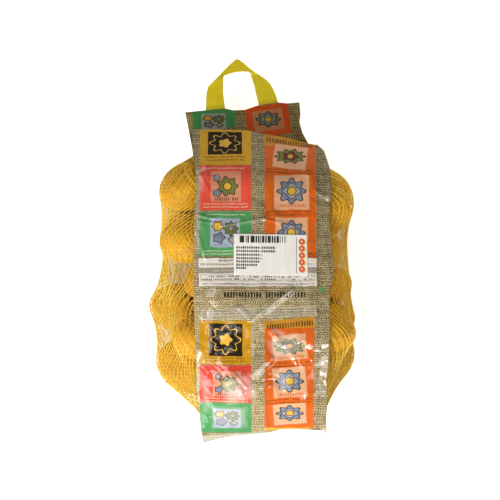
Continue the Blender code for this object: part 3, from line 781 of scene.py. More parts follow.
# Films: (y, x) down the two long edges and (x, y) along the two ends, in mm
films = {
    "front": {
        "left": [
            (123, -61), (102, -60), (82, -57), (61, -56), (37, -58.5), (-8, -58.5), (-48, -59),
            (-78, -57.5), (-118, -56), (-134, -57), (-160, -53.5), (-178, -52), (-191.5, -50),
        ],
        "right": [
            (107, 64.5), (101, 71), (84, 76), (71, 77.5), (56, 77.5), (32, 75), (1, 78.5), (-20, 80.5),
            (-40, 75.5), (-78, 76), (-107, 75), (-128, 72.5), (-138, 74.5), (-168, 73), (-182, 74),
        ],
        "top": [(-61, 123), (-22, 122), (-5, 121.5), (8.5, 118.5), (31, 115), (57, 108), (64.5, 107)],
        "bottom": [(-50, -191.5), (-36, -188), (-22, -185), (15, -181.5), (27.5, -178), (67, -177), (74, -182)],
        "grid": (330, 142),
        "softening": 34,
        "roughness": (0.08, 0.17),
        "wrinkles": 0.42,  # mm
        "seed": 5,
        "wobble": (1.9, 1.9, 0),
        # straight folds, in mm: x, y of both ends, width of the flank on the left of the way there and
        # on its right, height at the first end and at the last
        "creases": [
            (40, -36, 12, -58, 5, 7, 2.6, 2), (12, -58, -3, -69, 2.5, 5, 2, 1),
            (-3, -69, -15, -54, 8, 5, 1, 2.2), (-2, -72, 0, -90, 2.5, 6, 1.4, 1.6),
            (0, -90, -14, -110, 2.5, 5, 1.6, 0.8), (20, -104, 0, -124, 5, 8, 2.4, 1.6),
            (80, -98, 58, -109, 4, 7, 2.2, 1.6), (-36, -34, -40, -48, 6, 2, 1.3, 0.9),
            (-39, -56, -43, -70, 5, 2.5, 1.6, 1.2), (-44, -76, -46, -98, 3, 2.5, 0.8, 0.8),
            (-52, -112, -32, -128, 4, 5, 1.4, 1.6), (-32, -128, -6, -122, 5, 6, 1.6, 1.2),
            (-26, -114, -8, -146, 5, 5, 1.2, 2), (-48, -150, -28, -172, 5, 5, 1.6, 1.6),
            (-28, -172, -6, -160, 5, 4, 1.2, 1.6), (18, -74, 28, -92, 3, 4, 1.2, 1.8),
            (28, -92, 54, -88, 4, 4, 1.4, 0.8), (8, -150, 14, -176, 5, 4, 1.2, 1.2),
            (-50, -136, -40, -146, 3, 3, 1.2, 1.6), (-42, -166, -12, -156, 2.2, 3, 1.4, 1),
            (-46, -160, -38, -176, 2.4, 2.4, 1.2, 1.6), (-30, -160, -22, -176, 2.2, 2.8, 1.2, 1.4),
            (-14, -150, -4, -172, 2.4, 3, 1.4, 1.6), (-20, -118, -6, -134, 2, 3, 1.2, 1.4),
            (-56, 37, -36, 33, 2, 2.2, 1.4, 1.1), (-54, 31, -34, 28, 1.8, 2, 1.2, 0.9),
            (-32, 25, 12, 33, 1.6, 2.4, 1, 1.4), (10, 33, 36, 27, 1.6, 2.4, 1.4, 0.8),
            (-56, 22, -46, -8, 3, 3, 1.3, 1.3), (-56, 84, -28, 95, 2, 2.6, 1.4, 1),
            (-54, 80, -42, 58, 3, 2.6, 1.4, 1.2), (-50, 92, -44, 70, 2.6, 2.6, 1, 1),
            (68, 98, 77, 62, 3, 3, 1.5, 1), (62, 100, 72, 82, 2.5, 3, 1.2, 1),
            (60, 62, 76, 52, 3, 3, 1.4, 1.2), (70, 20, 76, -30, 3, 3, 1, 1),
            (16, 84, 56, 76, 3, 3, 0.8, 1),
        ],
        # painted glare where creased film would catch the light: left, right, bottom and top in mm, rise, strength and
        # softness in mm
        "milky": [
            (-28, 0, -148, -124, 0.3, 0.32, 6), (-40, -7, -174, -155, 0, 0.26, 6),
            (18, 44, -102, -84, 0.3, 0.32, 6), (-50, -44, -160, -128, 0, 0.2, 4),
            (-15, -4, -63, -57, -1, 0.36, 3), (11, 38, -49.3, -47.2, 0.75, 0.46, 1.6),
            (-3, 12, -63.5, -62.5, 0.85, 0.55, 1), (0.5, 14, -119, -113, 1, 0.5, 1.2),
            (62.5, 74, -111, -105.5, 0.85, 0.38, 1.5), (20, 30, -82, -77, -0.5, 0.3, 2.8),
            (-1, 1, -104, -74, 0, 0.34, 1.8), (-44, -38, -46, -34, -0.6, 0.24, 2.8),
            (-45, -39, -68, -57, -0.4, 0.28, 2.4), (-44, -41.5, -100, -74, 0, 0.22, 1.5),
            (-57, -47, 79, 83, 0.5, 0.4, 1.5), (-55, -49, 60, 76, 0, 0.22, 3),
            (-56, -38, 32.5, 33.8, -0.25, 0.3, 1), (-34, 14, 28.5, 29.8, 0.18, 0.32, 1),
            (-57, -52, 0, 60, 0, 0.12, 3), (72, 75, 50, 56, 0, 0.4, 1.5),
        ],
    },
    "back": {
        "left": [
            (140, -68), (102, -60.5), (70, -58), (0, -60), (-60, -60), (-120, -57), (-160, -53), (-186, -50),
        ],
        "right": [
            (150, 46.5), (137, 47.5), (130, 46.5), (119, 49.5), (100, 60), (70, 68), (0, 72), (-60, 74),
            (-120, 72), (-160, 70), (-179, 71),
        ],
        "top": [(-68, 140), (-28, 144), (-20, 142), (-8, 142.5), (5, 147), (24, 150), (35, 149), (46.5, 150)],
        "bottom": [(-50, -186), (-10, -181), (30, -177), (71, -179)],
        "grid": (260, 100),
        "softening": 12,
        "roughness": (0.1, 0.19),
        # only the header above the net is wrinkled and creased
        "headerFrom": 0.118,
        "wrinkles": 0.7,  # mm
        "seed": 17,
        "creases": [
            (-40, 142, -36, 124, 3, 5, 1.8, 1.2), (-18, 144, -14, 122, 4, 3, -1.6, -1.6),
            (-6, 143, 0, 122, 3, 6, 1.6, 1.2), (24, 148, 30, 124, 3, 5, 1.6, 1.2), (40, 146, 47, 128, 3, 4, 1.8, 1.4),
        ],
        # painted shade multiplied into the header's print
        "headerShade": (0.72, 0.68, 0.42),
    },
    "thickness": 0.00028,
    "clearance": 0.0013,
    # angle in degrees and length in m of each family of wrinkles
    "wrinkleWays": [(2, 0.017), (12, 0.026), (-24, 0.020), (38, 0.024), (-55, 0.030), (-8, 0.011)],
    "wrinkleShift": 0.004,
    "wrinkleSharpness": 2.2,
    "wrinkleUnit": 0.02,
    "creaseEnds": 0.06,
    "finish": {"Specular IOR Level": 0.45},
    "crumpleSize": 32.0,
    "weave": {"Row": 1.75, "Dash": 2.5},
}


def edgePoints(edge, count, key):
    table = np.array(edge, float)
    at = np.linspace(table[0, 0], table[-1, 0], count)
    order = np.argsort(table[:, 0])
    other = np.interp(at, table[order, 0], table[order, 1])
    pair = (at, other) if key == 0 else (other, at)
    return np.stack(pair, axis=1) * mm


def patchPlan(film):
    # a grid of plan points that fills the film's four edges, from the top row down
    rows, columns = film["grid"]
    left, right = (edgePoints(film[edge], rows, 1)[:, None, :] for edge in ("left", "right"))
    top, bottom = (edgePoints(film[edge], columns, 0)[None, :, :] for edge in ("top", "bottom"))
    u = np.linspace(0, 1, columns)[None, :, None]
    v = np.linspace(0, 1, rows)[:, None, None]
    topCorners = top[:, :1] * (1 - u) + top[:, -1:] * u
    bottomCorners = bottom[:, :1] * (1 - u) + bottom[:, -1:] * u
    return left * (1 - u) + right * u + (top - topCorners) * (1 - v) + (bottom - bottomCorners) * v


def treeOf(piece):
    mesh = piece.data
    return BVHTree.FromPolygons([v.co for v in mesh.vertices], [tuple(p.vertices) for p in mesh.polygons])


def heightsOver(surface, plan, fromAbove=True):
    # heights of a surface over the plan points; a miss at the rim is looked for again further in
    middle = plan.reshape(-1, 2).mean(axis=0)
    high, way = (0.3, -1) if fromAbove else (-0.1, 1)
    heights = np.full(plan.shape[:2], np.nan)
    for r, c in np.ndindex(heights.shape):
        for inward in (0.0, 0.006, 0.015, 0.03):
            x, y = plan[r, c] * (1 - inward) + middle * inward
            hit = surface.ray_cast(Vector((x, y, high)), Vector((0, 0, way)))[0]
            if hit is not None:
                heights[r, c] = hit.z
                break
    return heights


def softened(heights, rounds):
    for _ in range(rounds):
        wide = np.pad(heights, 1, mode="reflect", reflect_type="odd")
        heights = (wide[:-2, 1:-1] + wide[2:, 1:-1] + wide[1:-1, :-2] + wide[1:-1, 2:] + 4 * heights) / 8
    return heights


def creaseHeight(plan, creases):
    total = np.zeros(plan.shape[:2])
    for x0, y0, x1, y1, leftWidth, rightWidth, firstHeight, lastHeight in creases:
        begin, way = np.array([x0, y0]) * mm, np.array([x1 - x0, y1 - y0]) * mm
        length = np.linalg.norm(way)
        way = way / length
        offset = plan - begin
        t = (offset @ way) / length
        side = offset[:, :, 1] * way[0] - offset[:, :, 0] * way[1]
        flank = np.where(side > 0, 1 - side / (leftWidth * mm), 1 + side / (rightWidth * mm))
        ends = np.clip((np.minimum(t, 1 - t) + films["creaseEnds"]) / 0.1, 0, 1)
        total += np.clip(flank, 0, 1) * ends * (firstHeight * (1 - t) + lastHeight * t) * mm
    return total


def wrinkleHeight(plan, film):
    # long soft wrinkles, more of them along the bag than across it
    seed = film["seed"]
    random = np.random.default_rng(seed)
    shift = np.stack([waves(plan, seed + k, 5, 25, 70) for k in (1, 2)], axis=2) * films["wrinkleShift"]
    total = np.zeros(plan.shape[:2])
    for angle, length in films["wrinkleWays"]:
        lean = math.radians(angle)
        across = (plan + shift) @ np.array([math.cos(lean), math.sin(lean)])
        across = across * 2 * math.pi / length + random.uniform(0, 6)
        ridge = (1 - np.abs(np.sin(across / 2))) ** films["wrinkleSharpness"]
        here = np.clip(waves(plan, seed + angle + 90, 6, 20, 55) * 0.7 + 0.25, 0, 1)
        total += ridge * here * (length / films["wrinkleUnit"])
    return total * film["wrinkles"] * mm


def makeSheet(name, plan, heights, thickness):
    rows, columns = heights.shape
    deselectAll()
    bpy.ops.mesh.primitive_grid_add(x_subdivisions=columns - 1, y_subdivisions=rows - 1, size=2)
    piece = bpy.context.object
    piece.name = piece.data.name = name
    flat = pointsOf(piece)
    column = np.rint((flat[:, 0] + 1) / 2 * (columns - 1)).astype(int)
    row = rows - 1 - np.rint((flat[:, 1] + 1) / 2 * (rows - 1)).astype(int)
    points = np.concatenate([plan[row, column], heights[row, column][:, None]], axis=1)
    piece.data.vertices.foreach_set("co", points.ravel())
    corner = np.empty(len(piece.data.loops), int)
    piece.data.loops.foreach_get("vertex_index", corner)
    uvLayer = piece.data.uv_layers[0]
    uvLayer.name = "printPlace"
    uvLayer.data.foreach_set("uv", points[corner, :2].ravel())
    piece.data.update()
    solid = piece.modifiers.new("wall", "SOLIDIFY")
    solid.thickness = thickness
    solid.offset = -1
    makeActive(piece)
    bpy.ops.object.modifier_apply(modifier="wall")
    bpy.ops.object.shade_smooth()
    return piece


# painted glare: a pale wash laid into the film's colour where creases would catch the light
def addPaintedGlare(piece, spots):
    points = pointsOf(piece) / mm
    total = np.zeros(len(points))
    for left, right, bottom, top, rise, strength, softness in spots:
        x, y = points[:, 0] - (left + right) / 2, points[:, 1] - (bottom + top) / 2
        y = y - x * rise
        x = x + y * rise
        edge = np.maximum(np.abs(x) - (right - left) / 2, np.abs(y) - (top - bottom) / 2)
        total = np.maximum(total, strength * np.clip(0.5 - edge / softness, 0, 1))
    piece.data.attributes.new("milky", "FLOAT", "POINT").data.foreach_set("value", total)


inks = {
    "threadDark": (0.085, 0.062, 0.02),
    "threadMid": (0.37, 0.285, 0.118),
    "threadPale": (0.92, 0.76, 0.47),
    "yellow": (0.74, 0.4, 0.018),
    "box": (0.022, 0.012, 0.003),
    "gold": (0.78, 0.47, 0.05),
    "red": (0.83, 0.09, 0.05),
    "salmon": (0.72, 0.29, 0.17),
    "green": (0.085, 0.35, 0.115),
    "paleBlue": (0.4, 0.46, 0.56),
    "orange": (0.72, 0.13, 0.008),
    "pink": (0.8, 0.43, 0.24),
    "slate": (0.2, 0.24, 0.32),
    "cream": (0.84, 0.74, 0.48),
    "paper": (0.82, 0.76, 0.68),
    "grey": (0.26, 0.22, 0.16),
    "brown": (0.1, 0.03, 0.006),
    "black": (0.02, 0.016, 0.012),
    "olive": (0.2, 0.21, 0.05),
    "plum": (0.22, 0.035, 0.03),
    "mauve": (0.38, 0.35, 0.37),
    "titleGold": (0.62, 0.28, 0.025),
    "white": (0.6, 0.56, 0.44),
    # the colour of the painted glare
    "haze": (0.9, 0.88, 0.8),
    "headerGreen": (0.068, 0.36, 0.155),
    "headerOrange": (0.88, 0.105, 0.002),
    # painted shade: darker copies of the yellow and red inks, for the lower panels
    "lowYellow": (0.6, 0.3, 0.009),
    "lowRed": (0.72, 0.066, 0.034),
}
printNumber = itertools.count(1)


def ownPlace(number):
    # a tiny shift of its own, so that the renderer doesn't hold the steps that all printed shapes share at once
    return number + next(printNumber) * 2e-5


def addField(colour, ink, box, rise, corner, amount=1.0):
    mask = fieldMask([ownPlace(side) for side in box], rise, corner)
    return blendColour(mask if amount == 1.0 else times(mask, amount), colour, ink)


def addBars(colour, ink, box, rise, pitch, rowPitch, height, fill, amount):
    left, right, bottom, top = box = [ownPlace(side) for side in box]
    x, y, _ = split(place)
    level = minus(minus(y, times(x, rise)), bottom - (left + right) / 2 * rise)
    given = {"Along": x, "Level": level, "Pitch": ownPlace(pitch), "Row Pitch": rowPitch}
    bars = groupNode(barRow, {**given, "Bar Height": height, "Fill": fill})["Mask"]
    return blendColour(times(fieldMask(box, rise, 0.1), bars, amount), colour, ink)


def addRound(colour, ink, x, y, halfWidth, halfHeight, line=0.0, petals=0):
    radius = (halfWidth + halfHeight) / 2
    given = {"Place": place, "Middle X": ownPlace(x), "Middle Y": y, "Radius": radius, "Line": line}
    given.update({"Stretch X": radius / halfWidth, "Stretch Y": radius / halfHeight})
    spot = groupNode(inkRound, {**given, "Petals": petals, "Petal Depth": 0.16 if petals else 0.0})
    colour = blendColour(spot["Fill"], colour, ink)
    return blendColour(spot["Outline"], colour, "black") if line else colour


def addMotif(colour, field, rounds, box, rise=0.0):
    # a printed picture: a pale field with plain outlined rounds on it, given in shares of the field
    left, right, bottom, top = box
    colour = addField(colour, field, box, rise, 0.6)
    wide, tall = right - left, top - bottom
    for u, v, w, h, ink, line, petals in rounds:
        x, y = left + u * wide, bottom + v * tall + (u - 0.5) * wide * rise
        colour = addRound(colour, ink, x, y, w * wide, h * tall, line, petals)
    return colour


def sackingPrint():
    weave = groupNode(sackingWeave, {"Place": place, **films["weave"]})
    colour = blendColour(ramp(weave["Tone"], 0.0, 0.5), "threadDark", "threadMid")
    colour = blendColour(ramp(weave["Tone"], 0.35, 0.9), colour, "threadPale")
    # painted shade: the sacking print is darker inward of the left edge, darker still down the right and darker towards
    # the top
    x, y, _ = split(place)
    paintedShade = times(ramp(x, -56.0, -44.0, 1.0, 0.92), ramp(x, 50.0, 64.0, 1.0, 0.84), ramp(y, -70.0, 20.0, 1.0, 0.80))
    return blendColour(1.0, colour, paintedShade, "MULTIPLY"), weave["Height"]


def filmSurface(colour, weaveHeight, smooth, rough):
    folds = groupNode(filmCrumple, {"Place": place, "Size": films["crumpleSize"]})
    linkTo("Base Color", colour)
    linkTo("Roughness", ramp(folds["Dull"], 0.3, 0.7, smooth, rough))
    linkBump(add(folds["Height"], times(weaveHeight, 0.01)), 0.0010, 0.5)


# Motifs: share across, share up, half width, half height, ink, line in mm, petals
posy = [
    (0.56, 0.5, 0.3, 0.28, "olive", 0.5, 7), (0.56, 0.5, 0.13, 0.13, "gold", 0.4, 0),
    (0.2, 0.78, 0.1, 0.11, "mauve", 0.4, 5), (0.22, 0.28, 0.13, 0.11, "slate", 0.4, 5),
]
beads = [
    (0.26, 0.72, 0.17, 0.16, "gold", 0.5, 6), (0.7, 0.64, 0.21, 0.22, "olive", 0.5, 8),
    (0.7, 0.64, 0.08, 0.08, "mauve", 0.3, 0), (0.3, 0.32, 0.18, 0.16, "slate", 0.5, 5),
    (0.74, 0.25, 0.12, 0.11, "mauve", 0.5, 4),
]
rosette = [
    (0.5, 0.54, 0.36, 0.32, "slate", 0.6, 8), (0.5, 0.54, 0.23, 0.2, "mauve", 0.4, 4),
    (0.5, 0.54, 0.13, 0.12, "gold", 0.4, 0),
]
garland = [
    (0.5, 0.54, 0.4, 0.27, "olive", 0.6, 10), (0.5, 0.54, 0.2, 0.17, "plum", 0.4, 5),
    (0.5, 0.54, 0.08, 0.08, "gold", 0, 0),
]
medal = [
    (0.5, 0.5, 0.4, 0.4, "gold", 0, 8), (0.5, 0.5, 0.365, 0.365, "box", 0, 8),
    (0.5, 0.5, 0.17, 0.17, "gold", 0, 5),
]

frontPrint, tree, shader = startMaterial("frontFilmPrint", films["finish"])
place = printedPlace()
wobble = calcVector("SUBTRACT", noise(place, 0.09, 2.0, 0.5, "Color"), (0.5, 0.5, 0.5))
place = calcVector("ADD", place, calcVector("MULTIPLY", wobble, films["front"]["wobble"]))
colour, weaveHeight = sackingPrint()
# panels: ink, left, right, bottom and top in mm, rise and corner radius
for panel in (
    ("yellow", (-53, -1.6, 86.5, 122), 0, 0.4),
    ("red", (-53, -1.6, 41.5, 86), 0, 0.4),
    ("green", (-53, -1.6, -4, 40), 0, 0.4),
    # painted shade: the lower yellow and red panels take darker copies of their inks
    ("lowYellow", (-53, -1.6, -111, -68), 0, 0.4),
    ("lowRed", (-53, -1.6, -149.5, -111.8), 0, 0.4),
    ("green", (-53, -1.6, -181, -150.3), 0, 0.4),
    ("titleGold", (11, 62, 102, 116), -0.14, 0.3),
    ("orange", (11.5, 62.5, -7, 106), 0, 0.4),
    ("titleGold", (11, 61, -77, -66), 0.09, 0.3),
    ("orange", (11.5, 60.5, -176, -75), 0, 0.4),
    ("gold", (11, 61, -179, -176), 0, 0.3),
):
    colour = addField(colour, *panel)
# pictures: field, motif, box and rise
for picture in (
    ("box", medal, (-45, -11, 97, 120), 0.01),
    ("salmon", posy, (-42, -12, 50, 80), 0),
    ("paleBlue", beads, (-42.5, -13, 5, 33.5), 0),
    ("box", medal, (-43.5, -10.5, -103, -70.5), 0),
    ("salmon", posy, (-40, -12, -143, -118), 0),
    ("paleBlue", beads, (-40, -12, -176, -156), 0),
    ("pink", garland, (20.5, 53.5, 82.5, 106), -0.14),
    ("pink", rosette, (21, 55.5, 42, 76), 0),
    ("pink", rosette, (22, 54, 2, 34), 0),
    ("pink", garland, (19.5, 53, -106.5, -81.5), 0.09),
    ("pink", rosette, (19.7, 52.7, -144, -114), 0.08),
    ("pink", rosette, (20.5, 52.7, -172.5, -150.5), 0.08),
):
    colour = addMotif(colour, *picture)
# rows of bars: ink, box, rise, pitch and height of a bar
for ink, box, rise, pitch, barHeight in (
    ("brown", (-48, -8, 90, 96.2), 0, 1.3, 1.3),
    ("cream", (-47, -8, 81.6, 84.8), 0, 1.3, 1.1),
    ("plum", (-38, -15, 50.6, 54.6), 0, 2.1, 3.4),
    ("cream", (-49, -5, 43.2, 49.4), 0, 1.2, 1.1),
    ("cream", (-47, -8, 35.6, 38.8), 0, 1.3, 1.1),
    ("slate", (-39, -16, 5.6, 9), 0, 2.1, 3),
    ("cream", (-49, -5, -3.4, 2.8), 0, 1.2, 1.1),
    ("brown", (13, 60, 77, 83.2), -0.04, 1.4, 1.4),
    ("orange", (25, 52, 44, 48), 0, 2.4, 3.2),
    ("brown", (13, 60, 35.4, 41.6), 0, 1.4, 1.4),
    ("brown", (13, 60, -5.6, 0.4), 0, 1.4, 1.4),
    ("brown", (12.5, 60, 106.5, 111.5), -0.14, 2.6, 4.6),
    ("brown", (13, 59, -74.5, -69.5), 0.09, 2.6, 5.4),
    ("brown", (-48, -8, -109.5, -103.5), 0, 1.3, 1.3),
    ("plum", (-37, -15, -142.6, -139), 0, 2.1, 3),
    ("cream", (-48, -5, -149.8, -143.8), 0, 1.2, 1.1),
    ("orange", (24, 50, -105.6, -102), 0.09, 2.4, 3),
    ("brown", (13, 59, -113.9, -107.9), 0.05, 1.4, 1.3),
    ("orange", (24, 50, -143, -139.6), 0.08, 2.4, 3),
    ("brown", (13, 59, -151, -145), 0.05, 1.4, 1.3),
):
    rowPitch = max(barHeight * 1.9, 3.0) if barHeight < 2 else box[3] - box[2]
    colour = addBars(colour, ink, box, rise, pitch, rowPitch, barHeight, 0.96 if pitch == 2.6 else 0.85, 0.9)
# the information table, its rows and the line of heavy marks below it
for addPart, *rest in (
    (addField, "brown", (-54.6, 63.4, -34.6, -5.2), 0, 0.2, 0.8),
    (addField, "paper", (-54, 63, -34, -6), 0, 0.3),
    (addBars, "black", (-34, -12, -9.8, -6.6), 0, 1.7, 3.2, 2.4, 0.95, 0.9),
    (addBars, "black", (-52, 60, -13.4, -10.6), 0, 1.3, 2.8, 1.8, 0.9, 0.8),
    (addField, "grey", (-54, 63, -21, -15.3), 0, 0.2, 0.85),
    (addBars, "paper", (-40, 50, -20.2, -16.2), 0, 1.6, 4, 1.6, 0.6, 0.5),
    (addField, "grey", (-52.5, -17, -28.6, -22.2), 0, 0.2, 0.75),
    (addField, "paper", (-52, -17.5, -28.1, -22.7), 0, 0.2),
    (addField, "grey", (-15.5, 29, -28.6, -22.2), 0, 0.2, 0.75),
    (addField, "paper", (-15, 28.5, -28.1, -22.7), 0, 0.2),
    (addField, "grey", (31, 61.5, -28.6, -22.2), 0, 0.2, 0.75),
    (addField, "paper", (31.5, 61, -28.1, -22.7), 0, 0.2),
    (addBars, "black", (-51, 60, -28.4, -22.6), 0, 1.9, 2.9, 1.7, 0.55, 0.9),
    (addBars, "black", (-50, 61, -33, -30.2), 0, 1.2, 2.8, 1.5, 0.9, 0.85),
    (addBars, "black", (-30, 51, -44.9, -39.1), 0, 2.9, 5.8, 5.2, 0.97, 1),
    (addField, "paper", (-52, 63, -65, -55), 0.03, 0.3, 0.3),
    (addBars, "black", (-50, 61, -64.5, -55.8), 0.03, 1.2, 2.9, 1.3, 0.85, 0.7),
    (addField, "green", (65, 69, -39, -35), 0, 1.8),
):
    colour = addPart(colour, *rest)
# the dashed line beside the print, the plain film below the weld and the painted glare on the creases
x, y, _ = split(place)
dashes = calc("LESS_THAN", fraction(times(y, 0.42)), 0.62)
line = times(ramp(absolute(minus(x, 64.3)), 0.75, 0.25), dashes, 0.75)
colour = blendColour(line, colour, "threadDark")
belowWeld = ramp(add(y, times(x, -0.055)), -180.2, -182.2)
colour = blendColour(belowWeld, colour, "white")
# painted glare: a pale wash where creased film would catch the light
colour = blendColour(readMark("milky"), colour, "haze")
filmSurface(colour, weaveHeight, *films["front"]["roughness"])

backPrint, tree, shader = startMaterial("backFilmPrint", films["finish"])
place = printedPlace()
colour, weaveHeight = sackingPrint()
colour = addField(colour, "headerGreen", (-60.5, -17.8, 124, 142.5), 0.05, 0.4)
colour = addMotif(colour, "paleBlue", beads, (-51.5, -27, 122.6, 138.6), 0.05)
colour = addField(colour, "headerOrange", (-6.5, 36.5, 115.7, 147.5), 0.14, 0.4)
colour = addMotif(colour, "salmon", rosette, (0.5, 30, 121.5, 142.5), 0.14)
for down in (0, 126):
    for ink, bottom, top in (("yellow", 50, 92), ("red", 8, 49), ("green", -30, 7)):
        colour = addField(colour, ink, (-50, -4, bottom - down, top - down), 0.0, 0.4)
        colour = addMotif(colour, "cream", posy, (-40, -14, bottom + 9 - down, top - 7 - down))
    colour = addField(colour, "orange", (8, 60, -30 - down, 92 - down), 0.0, 0.4)
    for bottom, top in ((56, 84), (-20, 10)):
        colour = addMotif(colour, "pink", rosette, (17, 51, bottom - down, top - down))
# painted shade: the header is darkened, as less light falls on it
inHeader = scaled(split(place)["Y"], 0.2, -19.6, clamp=True)
colour = blendColour(inHeader, colour, films["back"]["headerShade"], "MULTIPLY")
filmSurface(colour, weaveHeight, *films["back"]["roughness"])
print("print is laid out")

backTree = treeOf(cadNodes["film_back"])
film = films["front"]
plan = patchPlan(film)
heights = softened(heightsOver(treeOf(cadNodes["film_front"]), plan), film["softening"])
heights = heights + wrinkleHeight(plan, film) + creaseHeight(plan, film["creases"])
below = np.fmax(np.nan_to_num(heightsOver(netTree, plan), nan=-1), heightsOver(backTree, plan))
heights = np.maximum(heights, below + films["clearance"])
frontFilm = makeSheet("front_film", plan, heights, films["thickness"])
addPaintedGlare(frontFilm, film["milky"])
frontFilm.data.materials.append(frontPrint)
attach(frontFilm, "root")
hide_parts("film_front")
print("front film is made", len(frontFilm.data.polygons) * 2, "triangles")

film = films["back"]
plan = patchPlan(film)
heights = softened(heightsOver(backTree, plan), film["softening"])
free = np.clip((plan[:, :, 1] - film["headerFrom"]) / 0.02, 0, 1)
creased = wrinkleHeight(plan, film) + creaseHeight(plan, film["creases"])
ceiling = np.nan_to_num(heightsOver(netTree, plan, False), nan=1) - films["clearance"]
heights = np.maximum(np.minimum(heights + free * creased, ceiling), films["thickness"])
backFilm = makeSheet("back_film", plan, heights, films["thickness"])
backFilm.data.materials.append(backPrint)
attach(backFilm, "root")
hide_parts("film_back")
print("back film is made", len(backFilm.data.polygons) * 2, "triangles")

# Handle: outer and inner edge of the flat tape, (x, y) in mm, from the left foot round to the right
handle = {
    "outer": [
        (-46.8, 131.7), (-47.3, 145.9), (-47.1, 154), (-46.6, 160.1), (-45.2, 166.1), (-39.5, 171.9),
        (-33.4, 178.3), (-27.4, 184.9), (-21.3, 190.8), (-18.2, 193.5), (-16.2, 194.5), (-13.2, 193.3),
        (-8.1, 189.2), (-3, 184.6), (2, 180.9), (7.1, 177.7), (12.2, 174), (16.2, 170.2),
        (19.2, 165.9), (21.8, 160.1), (24.3, 153), (26.3, 145.9), (28.4, 133.7),
    ],
    "inner": [
        (-26.3, 131.7), (-28.2, 145.9), (-29.4, 154), (-29.9, 162.1), (-29.9, 170.2), (-29.6, 177.3),
        (-27.4, 178.3), (-23.3, 179.6), (-19.2, 180.8), (-16.2, 181.3), (-14.2, 181.6), (-11.1, 181.8),
        (-8.1, 181.8), (-5.1, 181.5), (-3.2, 180.5), (-2, 178.3), (-1, 174.2), (0.3, 170.2),
        (1.8, 165.1), (3, 159), (4.8, 151.9), (6.6, 143.8), (8.1, 133.7),
    ],
    "steps": 8,
    "across": 18,
    "thickness": 0.0006,
    # the header slopes down from its weld, and the tape hangs more steeply beyond its edge: y and z in m
    "weld": (0.108, 0.0615),
    "headerEnd": (0.15, 0.046),
    "bendY": 0.152,
    "droop": 0.55,
    "creases": (4.5, 14),
    "creaseHeight": 0.0016,
    "unevenness": 0.0003,
    "seed": 31,
    "gap": 0.0006,
    "colour": (1, 0.8, 0.01),
    "deep": (0.93, 0.72, 0.005),
    "finish": {"Roughness": 0.42},
}
corners = len(handle["outer"])
at = np.linspace(0, corners - 1, (corners - 1) * handle["steps"] + 1)
one, two = (
    np.stack([np.interp(at, np.arange(corners), np.array(handle[edge])[:, k] * mm) for k in (0, 1)], axis=1)[:, None, :]
    for edge in ("outer", "inner")
)
s = np.linspace(0, 1, handle["across"] + 1)[None, :, None]
plan = (one * (1 - s) + two * s)[::-1]
(weldY, weldZ), (endY, endZ) = handle["weld"], handle["headerEnd"]
ys = plan[:, :, 1]
heights = weldZ - (np.minimum(ys, handle["bendY"]) - weldY) * (weldZ - endZ) / (endY - weldY) - handle["gap"]
heights -= np.maximum(ys - handle["bendY"], 0) * handle["droop"]
for corner in handle["creases"]:
    fold = np.clip(1 - np.abs(at[::-1] - corner), 0, 1)[:, None]
    heights += handle["creaseHeight"] * fold**1.5 * (ys > handle["bendY"])
heights += np.clip((ys - handle["bendY"]) / 0.01, 0, 1) * waves(plan, handle["seed"], 6, 60, 200) * handle["unevenness"]
tape = makeSheet("tape_handle", plan, heights, handle["thickness"])
tapeMaterial, tree, shader = startMaterial("yellowTape", handle["finish"])
place = printedPlace()
blotch = noise(place, 0.06, 3.0, 0.6)
linkTo("Base Color", blendColour(ramp(blotch, 0.35, 0.65), handle["deep"], handle["colour"]))
ribs = bands(place, 0.55, 0.6, 1.0, "X")
linkBump(add(times(ribs, 0.25), noise(place, 0.35, 3.0)), 0.0004, 0.5)
tape.data.materials.append(tapeMaterial)
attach(tape, "root")
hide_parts("handle")
print("handle is made")

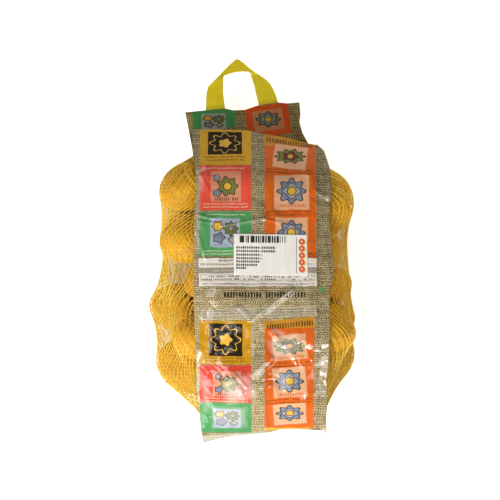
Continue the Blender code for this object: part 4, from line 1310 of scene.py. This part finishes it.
label = {
    # top left, top right, bottom right and bottom left in mm
    "corners": [(-18.9, 18.3), (53, 17), (54.5, -24), (-18.9, -22.4)],
    "grid": (64, 108),
    "softening": 10,
    "stand": 0.0006,
    "thickness": 0.00015,
    "paper": (0.97, 0.94, 0.88),
    "palePaper": (1, 0.98, 0.93),
    "finish": {"Roughness": 0.5, "Coat Weight": 0.15, "Coat Roughness": 0.2},
    # upright bars in a box, rows of bars (right end and level), and levels of the rings, in mm
    "code": (-13.2, 33.2, 9.2, 16),
    "rows": [(22, 4.5), (22, 1.0), (9, -2.5), (9, -6.0), (7, -9.2), (4, -12.5), (-7, -15.5)],
    "rings": [10.4, 3.6, -3.2, -10.0, -16.8],
}
one, two, three, four = (np.array(corner) * mm for corner in label["corners"])
u = np.linspace(0, 1, label["grid"][1])[None, :, None]
v = np.linspace(0, 1, label["grid"][0])[:, None, None]
plan = one * (1 - u) * (1 - v) + two * u * (1 - v) + three * u * v + four * (1 - u) * v
filmTop = heightsOver(treeOf(frontFilm), plan)
heights = np.maximum(softened(filmTop, label["softening"]), filmTop) + label["stand"]
sticker = makeSheet("paper_label", plan, heights, label["thickness"])
paperMaterial, tree, shader = startMaterial("labelPaper", label["finish"])
place = printedPlace()
fibre = noise(place, 1.4, 3.0, 0.6)
colour = blendColour(ramp(fibre, 0.3, 0.7), label["paper"], label["palePaper"])
x, y, _ = split(place)
code = calc("LESS_THAN", ownChance(calc("FLOOR", scaled(x, 1.25, 40.0))), 0.42)
code = calc("MAXIMUM", code, calc("LESS_THAN", fraction(times(x, 0.417)), 0.34))
colour = blendColour(times(fieldMask(label["code"], -0.01, 0.1), code), colour, "black")
for right, level in label["rows"]:
    colour = addField(colour, "black", (-17, right, level - 1.2, level + 0.4), -0.012, 0.1, 0.4)
    colour = addBars(colour, "black", (-17, right, level - 1.3, level + 1.3), -0.012, 2.1, 2.6, 2.5, 0.90, 1.0)
colour = addField(colour, "black", (42.6, 43.3, -21, 14.5), 0.0, 0.1, 0.8)
for level in label["rings"]:
    colour = addRound(colour, "gold", 48.9, level - 0.7, 3.2, 3.1)
    colour = addRound(colour, "red", 48.1, level, 2.9, 3.0)
    colour = addRound(colour, "cream", 48.1, level, 0.9, 1.1)
linkTo("Base Color", colour)
linkBump(fibre, 0.0002, 0.5)
sticker.data.materials.append(paperMaterial)
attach(sticker, "root")
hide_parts("label")
print("label is made")

deselectAll()
